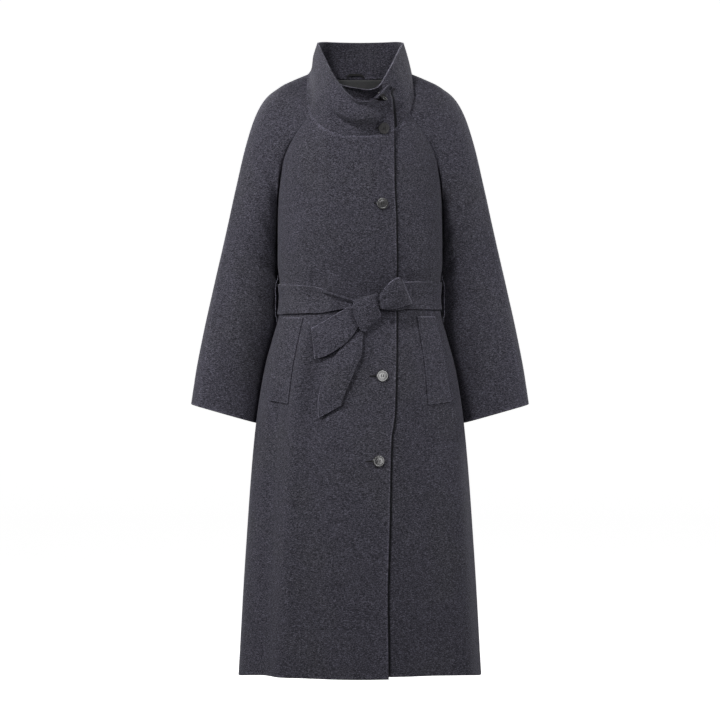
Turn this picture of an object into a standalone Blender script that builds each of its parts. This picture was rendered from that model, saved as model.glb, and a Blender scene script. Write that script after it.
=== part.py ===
"""Long wool coat: raglan sleeves, doubled funnel collar, lapped buttoned front and a tied cloth belt.

The coat stands hollow in the shape it has when worn. X runs to the wearer's left, the front faces -Y
and +Z is up. The origin is level with the tops of the shoulders at the neck, on the coat's middle.
"""

import math

import bmesh
import bpy
import numpy as np
from mathutils import Vector
from mathutils.bvhtree import BVHTree

for old in list(bpy.data.objects):
    bpy.data.objects.remove(old, do_unlink=True)

# ---- driving dimensions, metres ----------------------------------------------------------------
MM = 0.001
CLOTH = 2.4 * MM  # one layer of coating
COLLAR_CLOTH = 4.2 * MM  # two layers with the seam allowances between
BELT_CLOTH = 3.4 * MM
WELT_CLOTH = 2.6 * MM
FACING_CLOTH = 1.2 * MM
TAPE = 1.0 * MM
SEAM_GAP = 0.3 * MM
COLLAR_STAND = 1.0 * MM  # how far the undraped collar rounds out
LEAST_LEAN = 0.6  # cloth at a seam thickens no more than this lets it
LEAST_SQUARE = 0.35  # under this the cloth runs too nearly along its border to be set square to it
NECK_EVENING = 2
BODY_MIDDLE = (0, 0, -0.6)
COLLAR_MIDDLE = (0, -0.02, -0.04)
WAIST_MIDDLE = (0, 0, -0.455)
SHOULDER_MIDDLE = (0, 0, -0.05)
HEM_Z = -1.205
HEM_EVENING_Z = -1.0  # above this the rows no longer follow the hem line
WAIST_TOP_Z = -0.425
WAIST_LOW_Z = -0.487
BELT_ROW_Z = (-0.466, -0.446)
UNDERARM_Z = -0.262
NECK_FRONT_Z = -0.139
LAP_LIFT = 3.8 * MM  # how far the upper front rides over the under one
LAP_LIFT_AT_NECK = 6.6 * MM
LAP_RISE_Z = (-0.24, -0.14)
LAP_START_X = -0.085
LAP_FULL_X = -0.058
UNDERLAP_X = -0.052
BUTTON_RADIUS = 11.3 * MM
BUTTON_THICK = 3.6 * MM
BUTTON_HOLE_RADIUS = 1.1 * MM
BUTTON_HOLE_SPREAD = 4.6 * MM
BUTTON_OFF = 0.4 * MM
BUTTON_HOLE_SIDES = 5
SEAT_POINTS = 12
SEAT_SHARE = 0.86  # of the button's radius, where its underside turns up

SKIRT_ROWS = 17
SKIRT_CROWDING = 0.8  # rows lie closer together toward the waist
BODICE_ROWS = 6
YOKE_ROWS = 7
RIGHT_COLUMNS = 17
LEFT_COLUMNS = 13
BACK_COLUMNS = 20
CAP_COLUMNS = 3
COLLAR_ROWS = 9
SLEEVE_ROWS = 20
SLEEVE_CROWDING = 1.25
SLEEVE_EVEN_RINGS = 4  # after this many rings the sleeve's columns are evenly spread
HALVINGS = 40

# Level sections of the body from hem to neck. Front and back half widths differ above the arms.
SECTION_COLUMNS = ("z", "front_half", "back_half", "front_deep", "back_deep", "square")
SECTIONS = (
    (-1.206, 0.2425, 0.2425, 0.174, 0.172, 2.05),
    (-0.950, 0.2275, 0.2275, 0.166, 0.164, 2.05),
    (-0.700, 0.2075, 0.2075, 0.151, 0.148, 2.10),
    (-0.590, 0.1900, 0.1900, 0.139, 0.135, 2.10),
    (-0.530, 0.1740, 0.1740, 0.129, 0.123, 2.10),
    (-0.487, 0.1620, 0.1620, 0.118, 0.110, 2.10),
    (-0.455, 0.1580, 0.1580, 0.115, 0.106, 2.10),
    (-0.425, 0.1600, 0.1600, 0.119, 0.109, 2.15),
    (-0.380, 0.1645, 0.1645, 0.130, 0.115, 2.20),
    (-0.320, 0.1645, 0.1645, 0.139, 0.120, 2.25),
    (-0.250, 0.1640, 0.1640, 0.143, 0.123, 2.30),
    (-0.190, 0.1615, 0.1610, 0.140, 0.123, 2.30),
    (-0.139, 0.1460, 0.1560, 0.132, 0.119, 2.30),
    (-0.088, 0.1250, 0.1460, 0.116, 0.110, 2.30),
    (-0.040, 0.1150, 0.1240, 0.100, 0.096, 2.20),
    (-0.003, 0.1080, 0.1020, 0.085, 0.079, 2.20),
)

# Soft folds run down the cloth: degrees round from the middle front, positive to the wearer's left.
FOLD_COLUMNS = ("turn_top", "z_top", "turn_low", "z_low", "wide_top", "wide_low", "high_top", "high_low")
FOLDS = (
    (-36, -0.485, -38, -1.206, 6, 9, 0.0070, 0.0085),
    (-53, -0.670, -52, -1.206, 6, 8, -0.0060, -0.0045),
    (-23, -0.495, -22, -0.900, 7, 12, -0.0040, -0.0010),
    (33, -0.660, 36, -1.206, 9, 9, -0.0055, -0.0050),
    (62, -0.640, 58, -1.206, 10, 11, 0.0050, 0.0080),
    (-76, -0.690, -72, -1.206, 8, 10, 0.0020, 0.0050),
    (116, -0.700, 110, -1.206, 9, 11, 0.0050, 0.0090),
    (134, -0.500, 130, -1.206, 7, 10, -0.0060, -0.0080),
    (158, -0.490, 156, -1.206, 8, 11, 0.0070, 0.0080),
    (180, -0.520, 181, -1.206, 8, 10, -0.0050, -0.0070),
    (-157, -0.490, -154, -1.206, 8, 11, 0.0065, 0.0085),
    (-133, -0.500, -129, -1.206, 7, 10, -0.0055, -0.0080),
    (-116, -0.700, -109, -1.206, 9, 11, 0.0050, 0.0085),
    (-46, -0.300, -33, -0.408, 6, 5, 0.0010, 0.0045),
    (-24, -0.300, -20, -0.408, 7, 5, -0.0005, -0.0040),
    (50, -0.310, 40, -0.408, 7, 6, 0.0008, 0.0040),
    (143, -0.280, 150, -0.408, 9, 7, 0.0010, 0.0060),
    (180, -0.300, 180, -0.408, 10, 8, -0.0005, -0.0040),
    (-143, -0.280, -150, -0.408, 9, 7, 0.0010, 0.0055),
)
FOLD_FADE = 0.035
FOLD_RISE = 0.010  # a fold begins this much above its top
FOLD_END = (-0.012, 0.006)  # and dies out between these, round its low end
FOLD_TO_HEM_Z = -1.1  # one that ends lower than this runs out through the hem

# Upper front edge, from neck to hem.
EDGE_COLUMNS = ("z", "x")
FRONT_EDGE = (
    (-0.139, 0.0645),
    (-0.236, 0.0664),
    (-0.300, 0.0692),
    (-0.420, 0.0706),
    (-0.490, 0.0706),
    (-0.670, 0.0675),
    (-0.700, 0.0650),
    (-0.730, 0.0605),
    (-0.900, 0.0568),
    (-1.040, 0.0533),
    (-1.198, 0.0550),
)

# Half of the hem, degrees from the middle front: the height of each panel's lower edge there.
HEM_COLUMNS = ("turn", "right_z", "left_z")
HEM = (
    (-30, -1.1975, -1.1925),
    (0, -1.1975, -1.1925),
    (28, -1.1965, -1.1930),
    (50, -1.1960, -1.1950),
    (90, -1.2045, -1.2045),
    (180, -1.2050, -1.2050),
)

# Half of the neck edge: the front runs on the body from its middle, the back likewise.
NECK_COLUMNS = ("x", "z")
FRONT_NECK = (
    (0.000, -0.1390),
    (0.030, -0.1385),
    (0.062, -0.1270),
    (0.082, -0.1100),
    (0.098, -0.0880),
)
NECK_POINTS_APART = 0.004
BACK_NECK = (
    (0.000, -0.0090),
    (0.035, -0.0080),
    (0.065, -0.0040),
)
CAP_NECK_COLUMNS = ("x", "y", "z")
CAP_NECK = (
    (0.1065, -0.034, -0.040),
    (0.1040, 0.004, -0.004),
    (0.0880, 0.044, 0.001),
)

# Raglan seams from the underarm to the neck, on the body.
RAGLAN_COLUMNS = ("x", "z")
FRONT_RAGLAN = (
    (0.1640, -0.262),
    (0.1610, -0.205),
    (0.1420, -0.155),
    (0.1200, -0.118),
    (0.0980, -0.088),
)
BACK_RAGLAN = (
    (0.1640, -0.262),
    (0.1590, -0.195),
    (0.1350, -0.125),
    (0.1000, -0.060),
    (0.0650, -0.004),
)

# Rings of the sleeve: top or outer point, lower or inner point, middle and half depth front to back.
SLEEVE_COLUMNS = ("out", "z", "in_out", "in_z", "y", "deep", "seam_turn", "square")
SLEEVE_RINGS = (
    (0.1420, -0.0205, 0.1665, -0.272, 0.003, 0.064, 0, 2.0),
    (0.1830, -0.0475, 0.1675, -0.284, 0.006, 0.068, 6, 2.0),
    (0.2040, -0.0790, 0.1665, -0.300, 0.010, 0.069, 12, 2.05),
    (0.2240, -0.1370, 0.1648, -0.318, 0.015, 0.069, 18, 2.1),
    (0.2475, -0.2330, 0.1634, -0.352, 0.025, 0.067, 24, 2.15),
    (0.2770, -0.3570, 0.1605, -0.415, 0.041, 0.063, 30, 2.15),
    (0.2955, -0.4360, 0.1605, -0.482, 0.045, 0.059, 34, 2.2),
    (0.3125, -0.5130, 0.1820, -0.556, 0.043, 0.054, 39, 2.25),
    (0.3285, -0.5950, 0.2000, -0.636, 0.039, 0.049, 44, 2.3),
    (0.3390, -0.6650, 0.2105, -0.7025, 0.033, 0.044, 49, 2.4),
)
# Soft creases of the sleeve: place along it, degrees round it, how wide each way, and height.
SLEEVE_CREASE_COLUMNS = ("along", "turn", "along_wide", "turn_wide", "slant", "high")
SLEEVE_CREASES = (
    (0.30, 120, 0.050, 55, 0.0012, -0.0030),
    (0.47, 150, 0.030, 60, 0.0010, -0.0040),
    (0.53, 160, 0.028, 60, 0.0010, 0.0030),
    (0.60, 140, 0.030, 60, 0.0012, -0.0035),
    (0.42, 40, 0.050, 40, 0.0010, 0.0020),
    (0.72, 110, 0.050, 50, 0.0014, -0.0025),
    (0.50, 215, 0.035, 50, -0.0010, -0.0040),
    (0.58, 230, 0.035, 50, -0.0010, 0.0030),
)

# Upper edge of the collar from its outer front end round the neck to its inner end.
COLLAR_COLUMNS = ("turn", "x", "y", "z", "drape")
COLLAR_TOP = (
    (27, 0.0600, -0.1220, -0.0417, 0.15),
    (24, 0.0550, -0.1310, -0.0375, 0.15),
    (20, 0.0486, -0.1400, -0.0417, 0.20),
    (15, 0.0394, -0.1485, -0.0535, 0.35),
    (10, 0.0273, -0.1530, -0.0655, 0.70),
    (5, 0.0150, -0.1540, -0.0725, 0.95),
    (-1, 0.0000, -0.1530, -0.0725, 1.00),
    (-8, -0.0152, -0.1480, -0.0630, 0.95),
    (-17, -0.0319, -0.1330, -0.0427, 0.80),
    (-31, -0.0567, -0.1030, -0.0034, 0.50),
    (-47, -0.0714, -0.0660, 0.0280, 0.25),
    (-70, -0.0815, -0.0300, 0.0500, 0.10),
    (-90, -0.0850, 0.0000, 0.0590, 0.02),
    (-125, -0.0690, 0.0520, 0.0660, 0.0),
    (-180, 0.0000, 0.0830, 0.0670, 0.0),
    (-235, 0.0710, 0.0520, 0.0660, 0.0),
    (-270, 0.0870, 0.0000, 0.0590, 0.0),
    (-294, 0.0825, -0.0370, 0.0490, 0.0),
    (-308, 0.0740, -0.0660, 0.0316, 0.0),
    (-323, 0.0613, -0.0960, 0.0036, 0.0),
    (-334, 0.0489, -0.1130, -0.0199, 0.0),
    (-340, 0.0395, -0.1210, -0.0355, 0.0),
    (-347, 0.0274, -0.1270, -0.0444, 0.0),
    (-353, 0.0153, -0.1300, -0.0466, 0.0),
    (-360, 0.0000, -0.1300, -0.0444, 0.0),
    (-370, -0.0215, -0.1260, -0.0405, 0.0),
    (-385, -0.0500, -0.1100, -0.0300, 0.0),
)
# How far the draped front of the collar stands out from the straight line between its edges.
DRAPE_COLUMNS = ("share", "out", "drop")
DRAPE = (
    (0.00, 0.0000, 0.0000),
    (0.12, 0.0014, 0.0000),
    (0.25, 0.0010, 0.0000),
    (0.38, 0.0034, -0.0012),
    (0.50, 0.0138, -0.0055),
    (0.62, 0.0168, -0.0030),
    (0.75, 0.0146, -0.0008),
    (0.88, 0.0110, 0.0000),
    (1.00, 0.0095, 0.0000),
)

BELT_COLUMNS = ("turn", "top_z", "low_z")
BELT_HEIGHTS = (
    (-270, -0.421, -0.478),
    (-180, -0.424, -0.482),
    (-90, -0.4245, -0.4860),
    (-40, -0.4290, -0.4865),
    (-26, -0.4350, -0.4850),
    (-16, -0.4440, -0.4800),
    (-4, -0.4570, -0.4740),
)
BELT_OFF = 0.9 * MM
BELT_TURNS = (-4.0, -338.0)
BELT_POINTS = 50
BELT_PAST_EDGE = 0.045  # the belt eases down off the upper front's edge over this much
# Beside the knot the belt is drawn together into two strands: how far each row of it stands up there,
# from its top edge down, and between which turns.
BELT_STRANDS = (0.0036, 0.0056, 0.0040, 0.0000, 0.0010, 0.0024, 0.0012)
BELT_STRAND_TURNS = (-27.0, -15.0)

# Stretches of belt at the knot: the two edges of the cloth at each station, how far each stands off
# the coat, and how far the middle rounds out.
RIBBON_COLUMNS = ("x_a", "z_a", "off_a", "x_b", "z_b", "off_b", "crown")
KNOT = (
    (-0.0030, -0.4600, 0.0060, 0.0290, -0.4500, 0.0075, 0.000),
    (-0.0110, -0.4570, 0.0110, 0.0345, -0.4450, 0.0120, 0.003),
    (-0.0143, -0.4605, 0.0142, 0.0358, -0.4475, 0.0160, 0.008),
    (-0.0150, -0.4720, 0.0148, 0.0362, -0.4600, 0.0180, 0.010),
    (-0.0125, -0.4870, 0.0140, 0.0392, -0.4765, 0.0165, 0.010),
    (-0.0085, -0.4990, 0.0135, 0.0415, -0.4880, 0.0140, 0.008),
    (-0.0035, -0.5110, 0.0130, 0.0270, -0.5035, 0.0135, 0.004),
    (0.0020, -0.5205, 0.0100, 0.0105, -0.5215, 0.0100, 0.001),
)
BOW_LOOP = (
    (0.0330, -0.4600, 0.0128, 0.0366, -0.4740, 0.0124, 0.000),
    (0.0372, -0.4560, 0.0165, 0.0402, -0.4760, 0.0160, 0.000),
    (0.0388, -0.4470, 0.0235, 0.0450, -0.4790, 0.0215, 0.003),
    (0.0510, -0.4310, 0.0300, 0.0650, -0.4775, 0.0280, 0.006),
    (0.0650, -0.4190, 0.0310, 0.0820, -0.4730, 0.0290, 0.006),
    (0.0760, -0.4145, 0.0280, 0.0980, -0.4680, 0.0280, 0.004),
    (0.0835, -0.4180, 0.0210, 0.1035, -0.4650, 0.0210, 0.001),
    (0.0790, -0.4230, 0.0145, 0.1000, -0.4700, 0.0145, -0.001),
    (0.0650, -0.4330, 0.0105, 0.0820, -0.4790, 0.0110, -0.002),
    (0.0490, -0.4480, 0.0105, 0.0600, -0.4810, 0.0110, -0.001),
)
SHORT_END = (
    (-0.0060, -0.4750, 0.0080, 0.0005, -0.5080, 0.0080, 0.000),
    (-0.0215, -0.4715, 0.0100, -0.0050, -0.5165, 0.0090, 0.002),
    (-0.0380, -0.4800, 0.0120, -0.0190, -0.5340, 0.0120, 0.004),
    (-0.0560, -0.4900, 0.0120, -0.0346, -0.5490, 0.0120, 0.004),
    (-0.0740, -0.5010, 0.0105, -0.0520, -0.5600, 0.0105, 0.003),
    (-0.0900, -0.5103, 0.0085, -0.0697, -0.5693, 0.0085, 0.001),
    (-0.0937, -0.5140, 0.0070, -0.0900, -0.5748, 0.0070, 0.000),
)
LONG_END = (
    (0.0030, -0.5150, 0.0066, 0.0070, -0.5165, 0.0062, 0.000),
    (-0.0080, -0.5250, 0.0055, 0.0065, -0.5310, 0.0070, 0.001),
    (-0.0300, -0.5410, 0.0060, 0.0060, -0.5450, 0.0090, 0.003),
    (-0.0493, -0.5676, 0.0070, 0.0040, -0.5640, 0.0100, 0.004),
    (-0.0620, -0.5880, 0.0075, -0.0050, -0.5850, 0.0100, 0.004),
    (-0.0716, -0.6081, 0.0075, -0.0120, -0.6030, 0.0095, 0.003),
    (-0.0800, -0.6350, 0.0070, -0.0220, -0.6250, 0.0085, 0.002),
    (-0.0840, -0.6600, 0.0060, -0.0300, -0.6450, 0.0075, 0.001),
    (-0.0820, -0.6903, 0.0055, -0.0364, -0.6654, 0.0065, 0.000),
)
# name, table, stations and points across
RIBBONS = (
    ("belt_knot", KNOT, 13, 7),
    ("bow_loop", BOW_LOOP, 18, 6),
    ("belt_end_short", SHORT_END, 10, 5),
    ("belt_end_long", LONG_END, 12, 5),
)

# Welts lie on the skirt: the outer top, inner top, inner low and outer low corners, each as degrees
# round and height.
WELT_RIGHT = ((-64.5, -0.4925), (-41.9, -0.4925), (-42.4, -0.6625), (-60.2, -0.6560))
WELT_LEFT = ((61.5, -0.4905), (42.4, -0.4905), (40.0, -0.6645), (58.8, -0.6590))
WELT_OFF = (0.8 * MM, 2.6 * MM)  # at its sewn edge, and at the edge that opens
WELT_SEWN_SHARE = 0.5  # the sewn edge is pressed to this much of its thickness
WELT_GRID = (10, 8)

# Buttons down the front edge, as x and z of their middles; the upper two are on the collar.
BUTTONS = (
    (0.0368, -0.0675),
    (0.0463, -0.1230),
    (0.0439, -0.2705),
    (0.0438, -0.6073),
    (0.0364, -0.7734),
)
# Section of a button from its middle out and round: radius share and height share.
BUTTON_PROFILE = (
    (0.00, 0.55),
    (0.62, 0.55),
    (0.72, 0.90),
    (0.86, 1.00),
    (1.00, 0.72),
    (1.00, 0.30),
    (0.84, 0.00),
    (0.00, 0.00),
)
BUTTON_SIDES = 14

# Belt carriers on the side seams: height and how far the strip stands off the coat.
CARRIER_COLUMNS = ("z", "off")
CARRIER = (
    (-0.4070, 0.0026),
    (-0.4140, 0.0036),
    (-0.4190, 0.0068),
    (-0.4260, 0.0090),
    (-0.4420, 0.0110),
    (-0.4600, 0.0110),
    (-0.4790, 0.0088),
    (-0.4880, 0.0072),
    (-0.4930, 0.0036),
    (-0.5000, 0.0026),
)
CARRIER_TURNS = (86.0, 89.6)
CARRIER_CLOTH = 1.3 * MM

FACING_TURNS = (132.0, 228.0)
FACING_Z = (-0.0135, -0.0480)
FACING_GRID = (4, 15)
FACING_OFF = 0.9 * MM

# Hanger loop inside the neck: middle line and half width of the tape.
HANGER_COLUMNS = ("x", "z")
HANGER = (
    (-0.0268, -0.0095),
    (-0.0245, -0.0050),
    (-0.0190, -0.0022),
    (-0.0090, -0.0018),
    (0.0010, -0.0022),
    (0.0060, -0.0045),
    (0.0085, -0.0090),
)
HANGER_HALF = 2.6 * MM
HANGER_POINTS = 15
HANGER_OFF = 1.5 * MM

BLACK_BROWN = (0.020, 0.018, 0.018)
WOOL = (0.056, 0.056, 0.068)
FACING_GREY = (0.13, 0.13, 0.14)


# ---- tables and curves -------------------------------------------------------------------------
def slopes(x, y):
    """Slopes of a smooth curve through table rows that never overshoots them."""
    step = np.diff(x)
    rise = np.diff(y) / step
    slope = np.zeros(len(x))
    slope[0] = rise[0]
    slope[-1] = rise[-1]
    for i in range(1, len(x) - 1):
        if rise[i - 1] * rise[i] > 0:
            first = 2 * step[i] + step[i - 1]
            second = step[i] + 2 * step[i - 1]
            slope[i] = (first + second) / (first / rise[i - 1] + second / rise[i])
    return slope


def along(table, columns, key, at):
    """Every column of a table at the places asked for, as smooth curves of its key column."""
    data = np.array(table, dtype=float)
    data = data[np.argsort(data[:, columns.index(key)])]
    x = data[:, columns.index(key)]
    at = np.clip(np.asarray(at, dtype=float), x[0], x[-1])
    cell = np.clip(np.searchsorted(x, at, side="right") - 1, 0, len(x) - 2)
    width = x[cell + 1] - x[cell]
    t = (at - x[cell]) / width
    found = {}
    for i, name in enumerate(columns):
        y = data[:, i]
        slope = slopes(x, y)
        found[name] = (
            y[cell] * (1 + 2 * t) * (1 - t) ** 2
            + width * slope[cell] * t * (1 - t) ** 2
            + y[cell + 1] * t * t * (3 - 2 * t)
            - width * slope[cell + 1] * t * t * (1 - t)
        )
    return found


def walk_shares(points):
    """How far along a run of points each one lies, as a share of the run's length."""
    length = np.concatenate([[0], np.cumsum(np.linalg.norm(np.diff(points, axis=0), axis=1))])
    return length / length[-1]


def path(points, columns, shares):
    """Every column at shares of the length of a smooth line through the given points."""
    points = np.array(points, dtype=float)
    return along(np.column_stack([walk_shares(points), points]), ("at",) + columns, "at", shares)


def named(table, columns):
    """The columns of a table as arrays under their names."""
    return dict(zip(columns, np.array(table, dtype=float).T))


def stacked(found, names=("x", "y", "z")):
    return np.stack([found[name] for name in names], axis=-1)


def ease(x, low, high):
    """Soft step from 0 at low to 1 at high."""
    t = np.clip((np.asarray(x, dtype=float) - low) / (high - low), 0, 1)
    return t * t * (3 - 2 * t)


def unit(vectors):
    return vectors / np.maximum(np.linalg.norm(vectors, axis=-1, keepdims=True), 1e-12)


def squared_round(turn, square):
    """Sine and cosine of a turn, and what they grow by on an oval squared off by this power."""
    angle = np.radians(turn)
    sine = np.sin(angle)
    cosine = np.cos(angle)
    return sine, cosine, (np.abs(sine) ** square + np.abs(cosine) ** square) ** (-1 / square)


# ---- the body's surface ------------------------------------------------------------------------
def section(z):
    return along(SECTIONS, SECTION_COLUMNS, "z", z)


def fold_height(turn, z):
    """Sum of the folds at a place on the body, outward positive."""
    turn = np.asarray(turn, dtype=float)
    total = np.zeros(np.broadcast(turn, z).shape)
    for row in FOLDS:
        fold = dict(zip(FOLD_COLUMNS, row))
        share = (z - fold["z_top"]) / (fold["z_low"] - fold["z_top"])
        inside = np.clip(share, 0, 1)
        centre = fold["turn_top"] + (fold["turn_low"] - fold["turn_top"]) * inside
        wide = fold["wide_top"] + (fold["wide_low"] - fold["wide_top"]) * inside
        high = fold["high_top"] + (fold["high_low"] - fold["high_top"]) * inside
        off = (turn - centre + 180) % 360 - 180
        from_top = ease(fold["z_top"] - z, -FOLD_RISE, FOLD_FADE)
        from_low = 1 if fold["z_low"] < FOLD_TO_HEM_Z else ease(z - fold["z_low"], *FOLD_END)
        total = total + high * np.exp(-((off / wide) ** 2)) * from_top * from_low
    return total


def body(turn, z):
    """Point of the coat's outer surface; turn in degrees from the middle front."""
    turn = np.asarray(turn, dtype=float)
    z = np.asarray(z, dtype=float)
    cut = section(z)
    sine, cosine, grow = squared_round(turn, cut["square"])
    front = cosine > 0
    half = np.where(front, cut["front_half"], cut["back_half"])
    deep = np.where(front, cut["front_deep"], cut["back_deep"])
    x = half * grow * sine
    y = -deep * grow * cosine
    flat = unit(np.stack([x / half**2, y / deep**2], axis=-1))
    high = fold_height(turn, z)
    x = x + flat[..., 0] * high
    y = y + flat[..., 1] * high
    return np.stack([x, y, z + 0 * x], axis=-1)


def turn_at(x, z, back=False):
    """Turn where the body, left plain, has this x at this height; found by halving."""
    x, z = np.broadcast_arrays(np.asarray(x, dtype=float), np.asarray(z, dtype=float))
    low = np.zeros(x.shape)
    high = np.full(x.shape, 90.0)
    for _ in range(HALVINGS):
        middle = (low + high) / 2
        less = np.abs(body(180 - middle if back else middle, z)[..., 0]) < np.abs(x)
        low = np.where(less, middle, low)
        high = np.where(less, high, middle)
    found = 180 - low if back else low
    return np.where(x < 0, -found, found)


def lap_lift(x, z):
    """How far the upper front stands out over the under one."""
    full = LAP_LIFT + (LAP_LIFT_AT_NECK - LAP_LIFT) * ease(z, *LAP_RISE_Z)
    return full * ease(x, LAP_START_X, LAP_FULL_X)


# ---- walls -------------------------------------------------------------------------------------
def grid_normals(grid, away_from=None):
    """Unit normals of a grid of points, turned away from a point if one is given."""
    normal = unit(np.cross(np.gradient(grid, axis=1), np.gradient(grid, axis=0)))
    if away_from is not None:
        side = np.einsum("ijk,ijk->ij", normal, grid - np.asarray(away_from))
        if np.median(side) < 0:
            normal = -normal
    return normal


def pull_in(outer, inner, normal, axis, end):
    """Draws one border of a wall back by half a seam gap, square to the border and to the wall."""
    edge = np.take(outer, end, axis=axis)
    beside = np.take(outer, 1 if end == 0 else outer.shape[axis] - 2, axis=axis)
    run = unit(np.gradient(edge, axis=0))
    out = np.take(normal, end, axis=axis)
    way = beside - edge
    way = way - np.einsum("ij,ij->i", way, run)[:, None] * run
    out = out - np.einsum("ij,ij->i", out, run)[:, None] * run
    square = np.linalg.norm(out, axis=1, keepdims=True) > LEAST_SQUARE
    out = unit(out)
    way = unit(way - square * np.einsum("ij,ij->i", way, out)[:, None] * out) * SEAM_GAP / 2
    for grid in (outer, inner):
        if axis == 0:
            grid[end, :] += way
        else:
            grid[:, end] += way


def closed_wall(name, outer, inner, material):
    """One closed body between two grids of points."""
    rows, columns = outer.shape[:2]
    count = rows * columns
    points = np.concatenate([outer.reshape(-1, 3), inner.reshape(-1, 3)])
    index = np.arange(count).reshape(rows, columns)
    faces = []
    for i in range(rows - 1):
        for j in range(columns - 1):
            a, b, c, d = index[i, j], index[i, j + 1], index[i + 1, j + 1], index[i + 1, j]
            faces.append((a, b, c))
            faces.append((a, c, d))
            faces.append((a + count, c + count, b + count))
            faces.append((a + count, d + count, c + count))
    rim = list(index[0, :]) + list(index[1:, -1]) + list(index[-1, -2::-1]) + list(index[-2:0:-1, 0])
    for a, b in zip(rim, rim[1:] + rim[:1]):
        if np.linalg.norm(points[b] - points[a + count]) < np.linalg.norm(points[a] - points[b + count]):
            faces.append((b, a, a + count))
            faces.append((b, a + count, b + count))
        else:
            faces.append((b, a, b + count))
            faces.append((a, a + count, b + count))
    mesh = bpy.data.meshes.new(name)
    mesh.from_pydata([tuple(p) for p in points], [], [tuple(int(v) for v in f) for f in faces])
    built = bmesh.new()
    built.from_mesh(mesh)
    bmesh.ops.recalc_face_normals(built, faces=built.faces)
    if built.calc_volume(signed=True) < 0:
        bmesh.ops.reverse_faces(built, faces=built.faces)
    built.to_mesh(mesh)
    built.free()
    mesh.materials.append(material)
    made = bpy.data.objects.new(name, mesh)
    bpy.context.scene.collection.objects.link(made)
    return made


def wall(name, grid, through, thick, material, seams=()):
    """Wall of even thickness under a grid of outer points; seams lists its sewn borders.

    through is the direction through the cloth at each point, which sewn borders share.
    """
    own = grid_normals(grid)
    lean = np.clip(np.abs(np.einsum("ijk,ijk->ij", through, own)), LEAST_LEAN, 1)
    outer = grid.copy()
    inner = grid - through * (thick / lean)[..., None]
    for axis, end in seams:
        pull_in(outer, inner, through, axis, end)
    return closed_wall(name, outer, inner, material)


def cloth_material(name, colour, rough):
    made = bpy.data.materials.new(name)
    made.use_nodes = True
    shader = made.node_tree.nodes["Principled BSDF"]
    shader.inputs["Base Color"].default_value = (*colour, 1)
    shader.inputs["Roughness"].default_value = rough
    return made


wool = cloth_material("wool", WOOL, 0.9)
facing = cloth_material("facing_cloth", FACING_GREY, 0.8)
tape = cloth_material("loop_tape", BLACK_BROWN, 0.6)
horn = cloth_material("button_horn", BLACK_BROWN, 0.25)

# ---- rows shared by the three body panels ------------------------------------------------------
skirt_z = WAIST_LOW_Z + (1 - np.linspace(0, 1, SKIRT_ROWS) ** SKIRT_CROWDING) * (HEM_Z - WAIST_LOW_Z)
bodice_z = np.linspace(WAIST_TOP_Z, UNDERARM_Z, BODICE_ROWS)
level_z = np.concatenate([skirt_z, BELT_ROW_Z, bodice_z])
level = len(level_z) - 1
yoke_rise = np.linspace(0, 1, YOKE_ROWS + 1)


def hem_drop(turn, z, column):
    """What a panel's lower rows move by to meet its hem line."""
    to_hem = along(HEM, HEM_COLUMNS, "turn", np.abs(turn))[column] - HEM_Z
    return to_hem * (1 - ease(z, HEM_Z, HEM_EVENING_Z))


def edge_x(z):
    return along(FRONT_EDGE, EDGE_COLUMNS, "z", z)["x"]


def between(first, last, row, across):
    """Even steps from one line's value to another's, in one row."""
    return first[row] + (last[row] - first[row]) * across


def front_grid(columns, side, inner_edge, hem_column):
    """Turns and heights of a front panel's points: rows from hem to neck, columns from side to edge.

    side is -1 for the wearer's right, and inner_edge gives x of the free edge at a height.
    """
    across = np.linspace(0, 1, columns)
    turns = []
    heights = []
    for z in level_z:
        start = side * 90.0
        end = turn_at(inner_edge(z), z)
        turn = start + (end - start) * across
        turns.append(turn)
        heights.append(z + hem_drop(turn, z, hem_column))
    raglan = path(FRONT_RAGLAN, RAGLAN_COLUMNS, yoke_rise)
    raglan_turn = side * turn_at(raglan["x"], raglan["z"])
    raglan_turn[0] = side * 90.0
    neck_half = named(FRONT_NECK, NECK_COLUMNS)
    end_x = abs(inner_edge(NECK_FRONT_Z))
    end_z = np.interp(end_x, neck_half["x"], neck_half["z"])
    past = [(-x, z) for x, z in FRONT_NECK[1:] if x < end_x - NECK_POINTS_APART]
    top = path(list(FRONT_NECK[::-1]) + past + [(-end_x, end_z)], NECK_COLUMNS, across)
    top_turn = side * turn_at(top["x"], top["z"])
    free_z = UNDERARM_Z + (top["z"][-1] - UNDERARM_Z) * yoke_rise
    free_turn = turn_at(inner_edge(free_z), free_z)
    bottom_turn = turns[-1]
    for i, rise in enumerate(yoke_rise[1:], start=1):
        turn = between(raglan_turn, free_turn, i, across)
        turn = turn + (1 - rise) * (bottom_turn - between(raglan_turn, free_turn, 0, across))
        turn = turn + rise * (top_turn - between(raglan_turn, free_turn, -1, across))
        height = between(raglan["z"], free_z, i, across)
        turns.append(turn)
        heights.append(height + rise * (top["z"] - between(raglan["z"], free_z, -1, across)))
    return np.array(turns), np.array(heights)


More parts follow.
